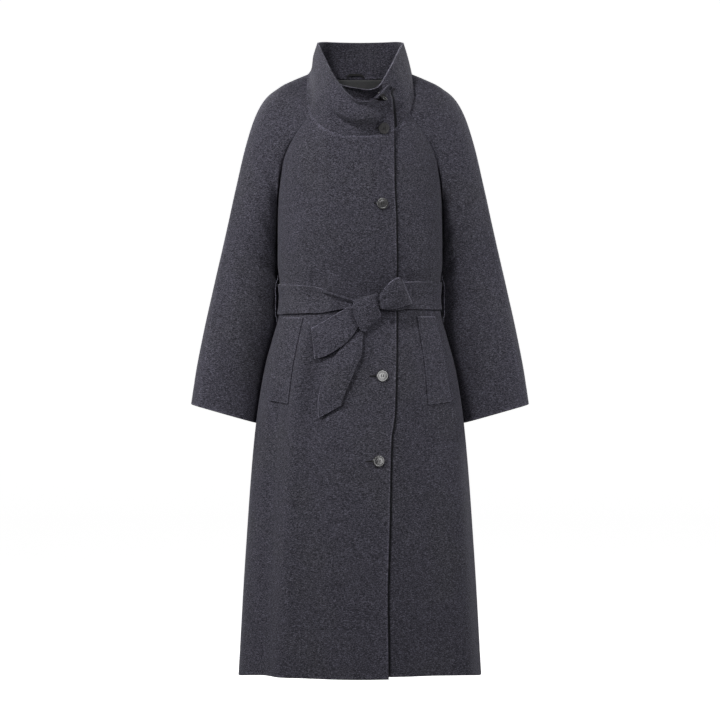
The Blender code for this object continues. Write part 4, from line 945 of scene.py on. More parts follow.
# The collar's free edge by the turn of the neck edge below it, once round and on under the front,
# and how much of the drape below each place has.
COLLAR_COLUMNS = ("turn", "x", "y", "z", "drape")
COLLAR_TOP = (
    (27, 0.0600, -0.1220, -0.0417, 0.15),
    (24, 0.0550, -0.1310, -0.0375, 0.15),
    (20, 0.0486, -0.1400, -0.0417, 0.20),
    (15, 0.0394, -0.1485, -0.0535, 0.35),
    (10, 0.0273, -0.1530, -0.0655, 0.70),
    (5, 0.0150, -0.1540, -0.0725, 0.95),
    (-1, 0.0000, -0.1530, -0.0725, 1.00),
    (-8, -0.0152, -0.1480, -0.0630, 0.95),
    (-17, -0.0319, -0.1330, -0.0427, 0.80),
    (-31, -0.0567, -0.1030, -0.0034, 0.50),
    (-47, -0.0714, -0.0660, 0.0280, 0.25),
    (-70, -0.0815, -0.0300, 0.0500, 0.10),
    (-90, -0.0850, 0.0000, 0.0590, 0.02),
    (-125, -0.0690, 0.0520, 0.0660, 0.0),
    (-180, 0.0000, 0.0830, 0.0670, 0.0),
    (-235, 0.0710, 0.0520, 0.0660, 0.0),
    (-270, 0.0870, 0.0000, 0.0590, 0.0),
    (-294, 0.0825, -0.0370, 0.0490, 0.0),
    (-308, 0.0740, -0.0660, 0.0316, 0.0),
    (-323, 0.0613, -0.0960, 0.0036, 0.0),
    (-334, 0.0489, -0.1130, -0.0199, 0.0),
    (-340, 0.0395, -0.1210, -0.0355, 0.0),
    (-347, 0.0274, -0.1270, -0.0444, 0.0),
    (-353, 0.0153, -0.1300, -0.0466, 0.0),
    (-360, 0.0000, -0.1300, -0.0444, 0.0),
    (-370, -0.0215, -0.1260, -0.0405, 0.0),
    (-385, -0.0500, -0.1100, -0.0300, 0.0),
)
# How far the slumping layer swells out on its way up.
DRAPE_COLUMNS = ("share", "out")
DRAPE = (
    (0.00, 0.0000),
    (0.10, 0.0030),
    (0.20, 0.0060),
    (0.40, 0.0120),
    (0.60, 0.0158),
    (0.80, 0.0135),
    (0.93, 0.0095),
    (1.00, 0.0095),
)
# Where the roll hangs over: in front above a deep soft crease, and on the wearer's left shoulder
# just over the neck seam. Between the first two turns it grows, between the last two it fades.
FOLD_OVER_COLUMNS = ("share", "out", "drop")
FOLD_OVERS = (
    (
        (-29.0, -17.0, 13.0, 25.0),
        (
            (0.00, 0.0000, 0.0000),
            (0.08, -0.0010, 0.0000),
            (0.18, -0.0042, 0.0000),
            (0.28, -0.0082, 0.0000),
            (0.34, -0.0098, 0.0000),
            (0.40, -0.0078, -0.0020),
            (0.46, -0.0022, -0.0058),
            (0.54, 0.0014, -0.0052),
            (0.66, 0.0014, -0.0020),
            (0.82, 0.0000, 0.0000),
            (1.00, 0.0000, 0.0000),
        ),
    ),
    (
        (-128.0, -100.0, -58.0, -40.0),
        (
            (0.00, 0.0000, 0.0000),
            (0.06, -0.0022, 0.0000),
            (0.14, -0.0038, 0.0000),
            (0.25, -0.0040, 0.0000),
            (0.40, -0.0024, 0.0000),
            (0.60, -0.0005, 0.0000),
            (1.00, 0.0000, 0.0000),
        ),
    ),
    (
        (-324.0, -316.0, -298.0, -288.0),
        (
            (0.00, 0.0000, 0.0000),
            (0.03, 0.0026, -0.0012),
            (0.08, 0.0052, -0.0030),
            (0.18, 0.0046, -0.0016),
            (0.35, 0.0020, 0.0000),
            (0.60, 0.0000, 0.0000),
            (1.00, 0.0000, 0.0000),
        ),
    ),
)
# Round hollows and swells: where they lie, how wide they are, and how high.
HOLLOW_COLUMNS = ("turn", "share", "turn_wide", "share_wide", "high")
HOLLOWS = (
    (16.5, 0.72, 8.5, 0.17, -0.0085),
    (-13.0, 0.62, 7.0, 0.12, 0.0016),
    (3.0, 0.60, 6.0, 0.14, 0.0018),
)
# Soft creases in the collar: where along the neck edge and up the collar they run from and to, how
# wide they are, and how high.
COLLAR_CREASE_COLUMNS = ("turn_low", "turn_high", "share_low", "share_high", "wide", "high")
COLLAR_CREASES = (
    (-300, -312, 0.20, 0.95, 3.0, -0.0016),
    (-318, -326, 0.10, 0.90, 3.5, -0.0026),
    (-70, -60, 0.15, 0.90, 4.0, -0.0010),
    (-150, -160, 0.10, 0.60, 6.0, -0.0010),
    (-215, -205, 0.10, 0.70, 6.0, -0.0010),
    (-48, -30, 0.10, 0.70, 3.5, 0.0014),
)

# The free edge of each layer rolls out over a hollow, the upper one's toward its front end: share up
# the collar, how wide and how high, and the turns between which it grows.
LIP_COLUMNS = ("share", "wide", "high", "turn_from", "turn_full")
LIPS = (
    (0.985, 0.045, 0.0060, -40.0, 0.0),
    (0.985, 0.052, 0.0020, 0.0, 10.0),
    (0.850, 0.055, -0.0055, 1.0, 12.0),
    (0.925, 0.014, -0.0008, 0.0, 10.0),
    (0.990, 0.040, 0.0050, -335.0, -345.0),
    (0.760, 0.150, -0.0125, -335.0, -345.0),
)
# The upper layer's end is turned and pressed like the front edge below it.
COLLAR_END_HIGH = 1.8 * MM
COLLAR_END_TURNS = 3.2
COLLAR_END_FADE = 0.5
# The under layer, past this turn, gets painted shadow beside that end as the under front does.
UNDER_END_TURN = -250.0


def neck_ring():
    """Neck edge in one run, from the free edge of the upper front to that of the under front."""
    run = [right_points[-1, ::-1]]
    run.append(sleeve_points["right", "front"][0, YOKE_ROWS + 1 :])
    run.append(sleeve_points["right", "back"][0, YOKE_ROWS:-1][::-1])
    run.append(back_points[-1, 1:])
    run.append(sleeve_points["left", "back"][0, YOKE_ROWS + 1 :])
    run.append(sleeve_points["left", "front"][0, YOKE_ROWS:-1][::-1])
    run.append(left_points[-1, 1:])
    return np.concatenate(run)


neck = neck_ring()
neck_turn = np.degrees(np.unwrap(np.arctan2(neck[:, 0], -neck[:, 1])))
outward = unit(np.stack([neck[:, 0], neck[:, 1], 0 * neck[:, 0]], axis=-1))


def stood_out(points, high):
    """The collar's points moved level outward, each by its own height."""
    return points + high[..., None] * outward[None]


# The strip runs straight up from the neck edge to its free edge, then swells, hangs over and rolls.
top_edge = along(COLLAR_TOP, COLLAR_COLUMNS, "turn", neck_turn)
collar_share = np.linspace(0, 1, COLLAR_ROWS)
collar_points = neck[None] + (stacked(top_edge) - neck)[None] * collar_share[:, None, None]
weight = top_edge["drape"][None, :]
drape = along(DRAPE, DRAPE_COLUMNS, "share", collar_share)
collar_points = stood_out(collar_points, weight * drape["out"][:, None])
stand = np.sin(math.pi * collar_share)[:, None] * COLLAR_STAND
collar_points = stood_out(collar_points, (1 - weight) * stand)
for window, rows in FOLD_OVERS:
    over = along(rows, FOLD_OVER_COLUMNS, "share", collar_share)
    weight = ease(neck_turn, *window[:2]) * (1 - ease(neck_turn, *window[2:]))
    collar_points = stood_out(collar_points, over["out"][:, None] * weight[None, :])
    collar_points[..., 2] += over["drop"][:, None] * weight[None, :]
for row in HOLLOWS:
    hollow = dict(zip(HOLLOW_COLUMNS, row))
    off = ((neck_turn - hollow["turn"]) / hollow["turn_wide"]) ** 2
    up = ((collar_share - hollow["share"]) / hollow["share_wide"]) ** 2
    collar_points = stood_out(collar_points, hollow["high"] * np.exp(-off[None, :] - up[:, None]))
end_ridge = COLLAR_END_HIGH * np.exp(-(((neck_turn[0] - neck_turn) / COLLAR_END_TURNS) ** 2))
collar_points = stood_out(collar_points, end_ridge[None, :] * (1 - COLLAR_END_FADE * collar_share[:, None]))
for row in LIPS:
    lip = dict(zip(LIP_COLUMNS, row))
    roll = lip["high"] * np.exp(-(((collar_share - lip["share"]) / lip["wide"]) ** 2))
    weight = ease(neck_turn, lip["turn_from"], lip["turn_full"])
    collar_points = stood_out(collar_points, roll[:, None] * weight[None, :])
for row in COLLAR_CREASES:
    crease = dict(zip(COLLAR_CREASE_COLUMNS, row))
    length = crease["share_high"] - crease["share_low"]
    reach = np.clip((collar_share - crease["share_low"]) / length, 0, 1)
    centre = crease["turn_low"] + (crease["turn_high"] - crease["turn_low"]) * reach
    off = neck_turn[None, :] - centre[:, None]
    strength = np.sin(math.pi * reach)[:, None] * np.exp(-((off / crease["wide"]) ** 2))
    collar_points = stood_out(collar_points, crease["high"] * strength)
# Painted shadow on the collar's under layer beside the upper layer's end.
end_x = np.interp(collar_points[..., 2], collar_points[:, 0, 2], collar_points[:, 0, 0])
past_edge = np.abs(collar_points[..., 0] - end_x - PAINTED_SHADOW_MIDDLE)
painted_shadow_under_end = (neck_turn < UNDER_END_TURN)[None, :] & (collar_points[..., 2] < collar_points[-1, 0, 2])
collar_piece = cloth_piece(
    "funnel_collar",
    collar_points,
    grid_normals(collar_points, COLLAR_MIDDLE),
    COLLAR_THICK,
    (NECK_SEAM, COLLAR_EDGE, COLLAR_EDGE, COLLAR_EDGE),
    coating,
    -1.0 * painted_shadow_under_end * (1 - ease(past_edge, *PAINTED_SHADOW_WIDE)),
)
dressed(collar_piece, ["collar"])

# ---- Belt --------------------------------------------------------------------------------------
# A doubled strip of the coating, 6 cm wide, laid once round the waist. Beside the knot its upper
# part is drawn into a strand of its own, which stands clear of the rest over a deep crease.
BELT_THICK = 3.4 * MM
BELT_OFF = 0.9 * MM
BELT_EDGE = (1.4 * MM, None, False, 1.0)
BELT_TURNS = (-4.0, -338.0)
BELT_STATIONS = 220
BELT_PAST_EDGE = 0.045
WAIST_MIDDLE = (0, 0, -0.455)
# The heights of the belt's edges round the coat.
BELT_COLUMNS = ("turn", "top_z", "low_z")
BELT_HEIGHTS = (
    (-270, -0.421, -0.478),
    (-180, -0.424, -0.482),
    (-90, -0.4245, -0.4860),
    (-40, -0.4290, -0.4865),
    (-26, -0.4350, -0.4850),
    (-16, -0.4440, -0.4800),
    (-4, -0.4570, -0.4740),
)
# How far the belt stands up beside the knot, by the distance down from its top edge.
STRAND_COLUMNS = ("down", "high")
STRANDS = (
    (0.0000, 0.0040),
    (0.0020, 0.0068),
    (0.0050, 0.0074),
    (0.0072, 0.0054),
    (0.0084, 0.0010),
    (0.0095, -0.0005),
    (0.0130, -0.0004),
    (0.0200, 0.0012),
    (0.0300, 0.0022),
    (0.0600, 0.0010),
)
STRAND_TURNS = (-30.0, -19.0)
BELT_ROWS = 45
# Shallow creases run along the belt where it was pulled tight: turn of their middle, share down the
# belt, how long and wide they are, and how high.
BELT_CREASE_COLUMNS = ("turn", "share", "turn_long", "share_wide", "high")
BELT_CREASES = (
    (-34, 0.74, 12, 0.06, -0.0006),
    (-48, 0.40, 14, 0.07, -0.0005),
    (-78, 0.55, 18, 0.08, 0.0005),
    (-112, 0.35, 16, 0.06, -0.0005),
    (-150, 0.62, 20, 0.08, -0.0006),
    (-196, 0.42, 20, 0.07, 0.0005),
    (-236, 0.58, 18, 0.07, -0.0005),
    (-284, 0.45, 14, 0.06, -0.0006),
    (-312, 0.30, 12, 0.05, 0.0006),
    (-318, 0.62, 10, 0.06, -0.0006),
)


def tree_of(*grids):
    """The outer faces of these grids, for finding where something rests on them."""
    points = []
    faces = []
    for grid in grids:
        rows, columns = grid.shape[:2]
        index = np.arange(rows * columns).reshape(rows, columns) + len(points)
        a, b, c, d = index[:-1, :-1], index[:-1, 1:], index[1:, 1:], index[1:, :-1]
        faces += np.stack([a, b, c, a, c, d], axis=-1).reshape(-1, 3).tolist()
        points += grid.reshape(-1, 3).tolist()
    return BVHTree.FromPolygons(points, faces)


def on_coat(tree, turns, heights):
    """Points of the coat's cloth in the directions asked for, seen from the coat's axis."""
    aim = body(turns, heights)
    found = np.zeros(aim.shape)
    for i in np.ndindex(turns.shape):
        start = Vector((0, 0, aim[i][2]))
        point, _, _, _ = tree.ray_cast(start, (Vector(aim[i]) - start).normalized())
        found[i] = point
    return found


under_layers = tree_of(back_points, left_points, right_under)
belt_turn = np.linspace(*BELT_TURNS, BELT_STATIONS)
belt_height = along(BELT_HEIGHTS, BELT_COLUMNS, "turn", belt_turn)
belt_share = np.linspace(0, 1, BELT_ROWS)[:, None]
belt_z = belt_height["top_z"] + (belt_height["low_z"] - belt_height["top_z"]) * belt_share
belt_base = on_coat(under_layers, np.broadcast_to(belt_turn, belt_z.shape), belt_z)
belt_edge = edge_x(belt_z)
belt_over = LAP_LIFT * ease(belt_base[..., 0], LAP_START_X, LAP_FULL_X)
belt_over *= (1 - ease(belt_base[..., 0], belt_edge, belt_edge + BELT_PAST_EDGE)) * (belt_base[..., 1] < 0)
belt_down = belt_height["top_z"] - belt_z
belt_strands = along(STRANDS, STRAND_COLUMNS, "down", belt_down)["high"] * ease(belt_turn, *STRAND_TURNS)
belt_creased = np.zeros(belt_z.shape)
for row in BELT_CREASES:
    crease = dict(zip(BELT_CREASE_COLUMNS, row))
    along_belt = ((belt_turn - crease["turn"]) / crease["turn_long"]) ** 2
    down_belt = ((belt_share - crease["share"]) / crease["share_wide"]) ** 2
    belt_creased += crease["high"] * np.exp(-along_belt - down_belt)
belt_normal = grid_normals(belt_base, WAIST_MIDDLE)
belt_lift = belt_over + BELT_OFF + BELT_THICK + belt_strands + belt_creased
belt_points = belt_base + belt_normal * belt_lift[..., None]
belt_cloth = wool_material(
    "belt coating",
    COATING_DARK,
    COATING_LIGHT,
    COATING_WARM,
    grain=720.0,
    contrast=0.95,
    cloud=0.08,
    nap_deep=0.3 * MM,
    sheen=0.10,
)
belt_piece = cloth_piece(
    "belt",
    belt_points,
    grid_normals(belt_points, WAIST_MIDDLE),
    BELT_THICK,
    (BELT_EDGE,) * 4,
    belt_cloth,
)
dressed(belt_piece, ["belt_band"])

# ---- Knot, loop and ends of the belt -----------------------------------------------------------
# The same strip of coating, tied in a half bow: the knot wraps round both strands, one loop comes
# out of it to the wearer's left, and two ends, cut on the slant, hang from under it.
# Lines across the strip from its edge a to its edge b, with how far each stands off the fronts and
# how much the middle rises above both.
RIBBON_COLUMNS = ("x_a", "z_a", "off_a", "x_b", "z_b", "off_b", "crown")
KNOT = (
    (-0.0030, -0.4600, 0.0060, 0.0290, -0.4500, 0.0075, 0.000),
    (-0.0110, -0.4570, 0.0110, 0.0345, -0.4450, 0.0120, 0.003),
    (-0.0143, -0.4605, 0.0142, 0.0358, -0.4475, 0.0160, 0.008),
    (-0.0150, -0.4720, 0.0148, 0.0362, -0.4600, 0.0180, 0.010),
    (-0.0125, -0.4870, 0.0140, 0.0392, -0.4765, 0.0165, 0.010),
    (-0.0085, -0.4990, 0.0135, 0.0415, -0.4880, 0.0140, 0.008),
    (-0.0035, -0.5110, 0.0130, 0.0270, -0.5035, 0.0135, 0.004),
    (0.0020, -0.5205, 0.0100, 0.0105, -0.5215, 0.0100, 0.001),
)
BOW_LOOP = (
    (0.0330, -0.4600, 0.0128, 0.0366, -0.4740, 0.0124, 0.000),
    (0.0372, -0.4560, 0.0165, 0.0402, -0.4760, 0.0160, 0.000),
    (0.0388, -0.4470, 0.0235, 0.0450, -0.4790, 0.0215, 0.003),
    (0.0510, -0.4310, 0.0300, 0.0650, -0.4775, 0.0280, 0.006),
    (0.0650, -0.4190, 0.0310, 0.0820, -0.4730, 0.0290, 0.006),
    (0.0760, -0.4145, 0.0280, 0.0980, -0.4680, 0.0280, 0.004),
    (0.0835, -0.4180, 0.0210, 0.1035, -0.4650, 0.0210, 0.001),
    (0.0790, -0.4230, 0.0145, 0.1000, -0.4700, 0.0145, -0.001),
    (0.0650, -0.4330, 0.0105, 0.0820, -0.4790, 0.0110, -0.002),
    (0.0490, -0.4480, 0.0105, 0.0600, -0.4810, 0.0110, -0.001),
)
SHORT_END = (
    (-0.0060, -0.4750, 0.0080, 0.0005, -0.5080, 0.0080, 0.000),
    (-0.0215, -0.4715, 0.0100, -0.0050, -0.5165, 0.0090, 0.002),
    (-0.0380, -0.4800, 0.0120, -0.0190, -0.5340, 0.0120, 0.004),
    (-0.0560, -0.4900, 0.0120, -0.0346, -0.5490, 0.0120, 0.004),
    (-0.0740, -0.5010, 0.0105, -0.0520, -0.5600, 0.0105, 0.003),
    (-0.0900, -0.5103, 0.0085, -0.0697, -0.5693, 0.0085, 0.001),
    (-0.0937, -0.5140, 0.0070, -0.0900, -0.5748, 0.0070, 0.000),
)
LONG_END = (
    (0.0030, -0.5150, 0.0066, 0.0070, -0.5165, 0.0062, 0.000),
    (-0.0080, -0.5250, 0.0055, 0.0065, -0.5310, 0.0070, 0.001),
    (-0.0300, -0.5410, 0.0060, 0.0060, -0.5450, 0.0090, 0.003),
    (-0.0493, -0.5676, 0.0070, 0.0040, -0.5640, 0.0100, 0.004),
    (-0.0620, -0.5880, 0.0075, -0.0050, -0.5850, 0.0100, 0.004),
    (-0.0716, -0.6081, 0.0075, -0.0120, -0.6030, 0.0095, 0.003),
    (-0.0800, -0.6350, 0.0070, -0.0220, -0.6250, 0.0085, 0.002),
    (-0.0840, -0.6600, 0.0060, -0.0300, -0.6450, 0.0075, 0.001),
    (-0.0820, -0.6903, 0.0055, -0.0364, -0.6654, 0.0065, 0.000),
)
# Folds of each stretch of belt: where along and across it they lie, how long and wide they are, how
# much they slant, and how high.
RIBBON_FOLD_COLUMNS = ("along", "across", "long", "wide", "slant", "high")
KNOT_FOLDS = (
    (0.30, 0.30, 0.20, 0.10, 0.15, -0.0009),
    (0.62, 0.62, 0.22, 0.10, -0.10, -0.0008),
    (0.80, 0.30, 0.14, 0.09, 0.10, 0.0006),
)
LOOP_FOLDS = (
    (0.16, 0.45, 0.13, 0.12, 0.2, -0.0028),
    (0.20, 0.78, 0.12, 0.10, 0.1, 0.0012),
    (0.30, 0.22, 0.15, 0.12, -0.1, 0.0010),
)
SHORT_FOLDS = (
    (0.25, 0.70, 0.28, 0.12, -0.10, -0.0012),
    (0.30, 0.25, 0.30, 0.12, 0.05, 0.0007),
    (0.75, 0.50, 0.20, 0.18, 0.00, 0.0006),
)
LONG_FOLDS = (
    (0.22, 0.40, 0.22, 0.12, 0.15, -0.0014),
    (0.42, 0.75, 0.30, 0.14, -0.05, 0.0010),
    (0.72, 0.35, 0.30, 0.16, 0.05, 0.0008),
)
# name, node, table, folds, where along it is folded back, stations, points across, flat size
RIBBONS = (
    ("knot", "belt_knot", KNOT, KNOT_FOLDS, None, 64, 34, (0.060, 0.065)),
    ("loop_of_bow", "bow_loop", BOW_LOOP, LOOP_FOLDS, 0.63, 96, 30, (0.060, 0.102)),
    ("short_end", "belt_end_short", SHORT_END, SHORT_FOLDS, None, 70, 34, (0.060, 0.110)),
    ("long_end", "belt_end_long", LONG_END, LONG_FOLDS, None, 90, 34, (0.060, 0.150)),
)
# Painted highlight across the loop where it turns back: how wide it is, and how strong.
TURN_BACK_WIDE = 0.022
TURN_BACK_HIGHLIGHT = 0.8


def ribbon_grid(table, folds, stations, across):
    """A stretch of belt laid out from its table, standing off the fronts."""
    key = np.arange(len(table)) / (len(table) - 1)
    run = np.linspace(0, 1, stations)
    rows = along(np.column_stack([key, table]), ("at",) + RIBBON_COLUMNS, "at", run)
    over = np.linspace(0, 1, across)[None, :]
    x = rows["x_a"][:, None] + (rows["x_b"] - rows["x_a"])[:, None] * over
    z = rows["z_a"][:, None] + (rows["z_b"] - rows["z_a"])[:, None] * over
    off = rows["off_a"][:, None] + (rows["off_b"] - rows["off_a"])[:, None] * over
    off = off + rows["crown"][:, None] * (1 - (2 * over - 1) ** 2)
    for row in folds:
        fold = dict(zip(RIBBON_FOLD_COLUMNS, row))
        down = run[:, None] - fold["along"]
        beside = over - fold["across"] - fold["slant"] * down
        off = off + fold["high"] * np.exp(-((down / fold["long"]) ** 2) - (beside / fold["wide"]) ** 2)
    grid = body(turn_at(x, z, FOLDS), z, FOLDS)
    grid[..., 1] -= off + LAP_LIFT
    normal = grid_normals(grid)
    return grid, -normal if normal[stations // 3, across // 2, 1] > 0 else normal


for name, node, table, folds, turned_at, stations, across, flat in RIBBONS:
    grid, normal = ribbon_grid(table, folds, stations, across)
    # Painted highlight on the fold where the loop turns back; other stretches get none.
    painted_light_level = 0.0
    if turned_at:
        run = np.linspace(0, 1, stations)[:, None]
        painted_light_level = TURN_BACK_HIGHLIGHT * np.exp(-(((run - turned_at) / TURN_BACK_WIDE) ** 2))
    piece = cloth_piece(name, grid, normal, BELT_THICK, (BELT_EDGE,) * 4, belt_cloth, painted_light_level)
    dressed(piece, [node])

# ---- Pocket welts ------------------------------------------------------------------------------
# A slanted strip of coating stands over each hip pocket. Its ends are tacked down and its outer
# edge is open; the inner one is sewn flat to the front.
WELT_THICK = 2.6 * MM
# Corners as turn and height: outer top, inner top, inner low, outer low.
WELT_RIGHT = ((-64.5, -0.4925), (-41.9, -0.4925), (-42.4, -0.6625), (-60.2, -0.6560))
WELT_LEFT = ((61.5, -0.4905), (42.4, -0.4905), (40.0, -0.6645), (58.8, -0.6590))
WELT_OFF = (0.8 * MM, 2.6 * MM)
WELT_SEWN_SHARE = 0.5
WELT_GRID = (72, 26)
WELT_EDGE = (1.1 * MM, None, False, 0.8)
WELT_SEAM = (0.8 * MM, 0.6 * MM, False, 0.2)
for label, corners in (("right", WELT_RIGHT), ("left", WELT_LEFT)):
    top_out, top_in, low_in, low_out = np.array(corners)
    down = np.linspace(0, 1, WELT_GRID[0])[:, None, None]
    over = np.linspace(0, 1, WELT_GRID[1])[None, :, None]
    outer_side = top_out + (low_out - top_out) * down
    inner_side = top_in + (low_in - top_in) * down
    flat = outer_side + (inner_side - outer_side) * over
    base = on_coat(under_layers, flat[..., 0], flat[..., 1])
    normal = grid_normals(base, BODY_MIDDLE)
    open_share = 1 - over[..., 0]
    thick = WELT_THICK * (WELT_SEWN_SHARE + (1 - WELT_SEWN_SHARE) * open_share)
    off = WELT_OFF[0] + (WELT_OFF[1] - WELT_OFF[0]) * open_share
    grid = base + normal * (off + thick)[..., None]
    edges = (WELT_EDGE, WELT_EDGE, WELT_EDGE, WELT_SEAM)
    piece = cloth_piece(f"{label}_welt", grid, normal, thick, edges, coating)
    dressed(piece, [f"pocket_welt_{label}"])

# ---- Belt carriers -----------------------------------------------------------------------------
# A narrow strip of the belt's coating on each side seam. It is sewn down above and below the belt,
# which runs through it.
CARRIER_THICK = 1.3 * MM
CARRIER_COLUMNS = ("z", "off")
CARRIER = (
    (-0.4070, 0.0026),
    (-0.4140, 0.0036),
    (-0.4190, 0.0068),
    (-0.4260, 0.0090),
    (-0.4420, 0.0110),
    (-0.4600, 0.0110),
    (-0.4790, 0.0088),
    (-0.4880, 0.0072),
    (-0.4930, 0.0036),
    (-0.5000, 0.0026),
)
CARRIER_TURNS = (86.0, 89.6)
CARRIER_GRID = (56, 9)
CARRIER_EDGE = (0.45 * MM, None, False, 0.8)
for label, side in (("right", -1), ("left", 1)):
    strip = path(CARRIER, CARRIER_COLUMNS, np.linspace(0, 1, CARRIER_GRID[0]))
    across = side * np.linspace(*CARRIER_TURNS, CARRIER_GRID[1])
    carrier_z, carrier_turn = np.meshgrid(strip["z"], across, indexing="ij")
    grid = body(carrier_turn, carrier_z, FOLDS) + np.array([side, 0, 0]) * strip["off"][:, None, None]
    normal = grid_normals(grid, WAIST_MIDDLE)
    piece = cloth_piece(f"{label}_carrier", grid, normal, CARRIER_THICK, (CARRIER_EDGE,) * 4, belt_cloth)
    node = f"belt_carrier_{label}"
    dressed(piece, [node])

# ---- Inside the neck ---------------------------------------------------------------------------
# A band of smoother, lighter cloth covers the back neck seam, and a loop of narrow tape is caught
# above it, to hang the coat by.
FACING_THICK = 1.2 * MM
FACING_TURNS = (132.0, 228.0)
FACING_Z = (-0.0070, -0.0480)
FACING_OFF = 2.2 * MM
FACING_GRID = (16, 70)
SHOULDER_MIDDLE = (0, 0, -0.05)
FACING_EDGE = (0.5 * MM, None, False, 0.0)
FACING_DARK = (0.095, 0.097, 0.098)
FACING_LIGHT = (0.150, 0.153, 0.154)
FACING_WARM = (1.0, 1.0, 1.0)
facing_cloth = wool_material(
    "facing cloth",
    FACING_DARK,
    FACING_LIGHT,
    FACING_WARM,
    grain=900.0,
    contrast=0.6,
    cloud=0.05,
    nap_deep=0.15 * MM,
    sheen=0.05,
)
facing_z, facing_turn = np.meshgrid(
    np.linspace(*FACING_Z, FACING_GRID[0]), np.linspace(*FACING_TURNS, FACING_GRID[1]), indexing="ij"
)
facing_base = body(facing_turn, facing_z, FOLDS)
facing_in = -grid_normals(facing_base, SHOULDER_MIDDLE)
facing_piece = cloth_piece(
    "neck_band",
    facing_base + facing_in * (COATING_THICK + FACING_OFF + FACING_THICK),
    facing_in,
    FACING_THICK,
    (FACING_EDGE,) * 4,
    facing_cloth,
)
dressed(facing_piece, ["neck_facing"])

TAPE_THICK = 1.0 * MM
TAPE_EDGE = (0.35 * MM, None, False, 0.0)
TAPE_RIBS = 300.0
TAPE_RIB_DEEP = 0.1 * MM
TAPE_DARK = (0.002, 0.002, 0.002, 1)
TAPE_LIGHT = (0.008, 0.008, 0.009, 1)
HANGER_HALF = 2.4 * MM
HANGER_OFF = 2.5 * MM
HANGER_RAISED = 3.0 * MM
HANGER_GRID = (9, 90)
HANGER_COLUMNS = ("x", "z")
HANGER = (
    (-0.0268, -0.0095),
    (-0.0245, -0.0050),
    (-0.0190, -0.0022),
    (-0.0090, -0.0018),
    (0.0010, -0.0022),
    (0.0060, -0.0045),
    (0.0085, -0.0090),
)


def toned(tree, value, first, second):
    """A colour ramp between two tones, each given as its place on the ramp and its colour."""
    ramp = tree.nodes.new("ShaderNodeValToRGB")
    for element, (where, colour) in zip(ramp.color_ramp.elements, (first, second)):
        element.position = where
        element.color = colour
    tree.links.new(value, ramp.inputs["Fac"])
    return ramp.outputs["Color"]


def tape_material():
    """Black twill tape: fine ribs across its width."""
    made, tree, shader = new_material("black tape")
    place = tree.nodes.new("ShaderNodeTexCoord").outputs["Object"]
    ribs = tree.nodes.new("ShaderNodeTexWave")
    ribs.bands_direction = "DIAGONAL"
    ribs.inputs["Scale"].default_value = TAPE_RIBS
    ribs.inputs["Distortion"].default_value = 0.6
    tree.links.new(place, ribs.inputs["Vector"])
    colour = toned(tree, ribs.outputs["Fac"], (0.0, TAPE_DARK), (1.0, TAPE_LIGHT))
    tree.links.new(colour, shader.inputs["Base Color"])
    bump = tree.nodes.new("ShaderNodeBump")
    bump.inputs["Strength"].default_value = 0.5
    bump.inputs["Distance"].default_value = TAPE_RIB_DEEP
    tree.links.new(ribs.outputs["Fac"], bump.inputs["Height"])
    tree.links.new(bump.outputs["Normal"], shader.inputs["Normal"])
    shader.inputs["Roughness"].default_value = 0.7
    return made


hanger_line = path(HANGER, HANGER_COLUMNS, np.linspace(0, 1, HANGER_GRID[1]))
inside_neck = tree_of(collar_points, back_points)
hanger_base = []
for x, z in zip(hanger_line["x"], hanger_line["z"] + HANGER_RAISED):
    found, _, _, _ = inside_neck.ray_cast(Vector((x, 0, z)), Vector((0, 1, 0)))
    hanger_base.append((x, found.y - COLLAR_THICK - HANGER_OFF - TAPE_THICK, z))
hanger_base = np.array(hanger_base)
hanger_rows = np.linspace(1, -1, HANGER_GRID[0])[:, None, None] * np.array([0, 0, HANGER_HALF])
hanger_points = hanger_base[None] + hanger_rows
hanger_piece = cloth_piece(
    "hanging_tape",
    hanger_points,
    np.broadcast_to((0.0, -1.0, 0.0), hanger_points.shape),
    TAPE_THICK,
    (TAPE_EDGE,) * 4,
    tape_material(),
)
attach(hanger_piece, "root")
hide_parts("hanger_loop")

# ---- Buttons -----------------------------------------------------------------------------------
# Polished dark four-hole buttons with a raised rim, sewn on with dark thread through a stitched
# buttonhole that lies level in the edge of the upper front.
BUTTON_RADIUS = 11.3 * MM
BUTTON_DEEP = 3.6 * MM
BUTTON_HOLE_RADIUS = 0.95 * MM
BUTTON_HOLE_SPREAD = 3.9 * MM
BUTTON_OFF = 0.4 * MM
SEAT_POINTS = 12
SEAT_SHARE = 0.86
BUTTON_SIDES = 96
# Section of a button from its middle out and round: share of its radius, share of its height.
BUTTON_PROFILE = (
    (0.00, 0.770),
    (0.30, 0.770),
    (0.66, 0.770),
    (0.69, 0.762),
    (0.72, 0.772),
    (0.75, 0.788),
    (0.78, 0.792),
    (0.92, 0.792),
    (0.955, 0.780),
    (0.985, 0.690),
    (1.00, 0.540),
    (1.00, 0.400),
    (0.975, 0.24),
    (0.92, 0.10),
    (0.84, 0.00),
    (0.00, 0.00),
)
# Each button's middle, and where its buttonhole starts to its right as worn.
BUTTON_COLUMNS = ("x", "z", "hole_start")
BUTTONS = (
    (0.0368, -0.0675, -0.0135),
    (0.0463, -0.1230, -0.0150),
    (0.0439, -0.2705, -0.0165),
    (0.0438, -0.6073, -0.0255),
    (0.0364, -0.7734, -0.0245),
)
BUTTONHOLE_LONG = 25 * MM
BUTTONHOLE_HALF = 0.9 * MM
BUTTONHOLE_BEAD = 0.55 * MM
BUTTONHOLE_STITCHES = 56
BUTTONHOLE_THREAD = 0.25 * MM
# One stitch over the slit's edge, as shares of the slit's half width and of the bead's height.
BUTTONHOLE_STITCH = ((0.15, -0.2), (0.25, 0.35), (0.60, 0.62), (1.00, 0.55), (1.35, 0.15), (1.45, -0.25))
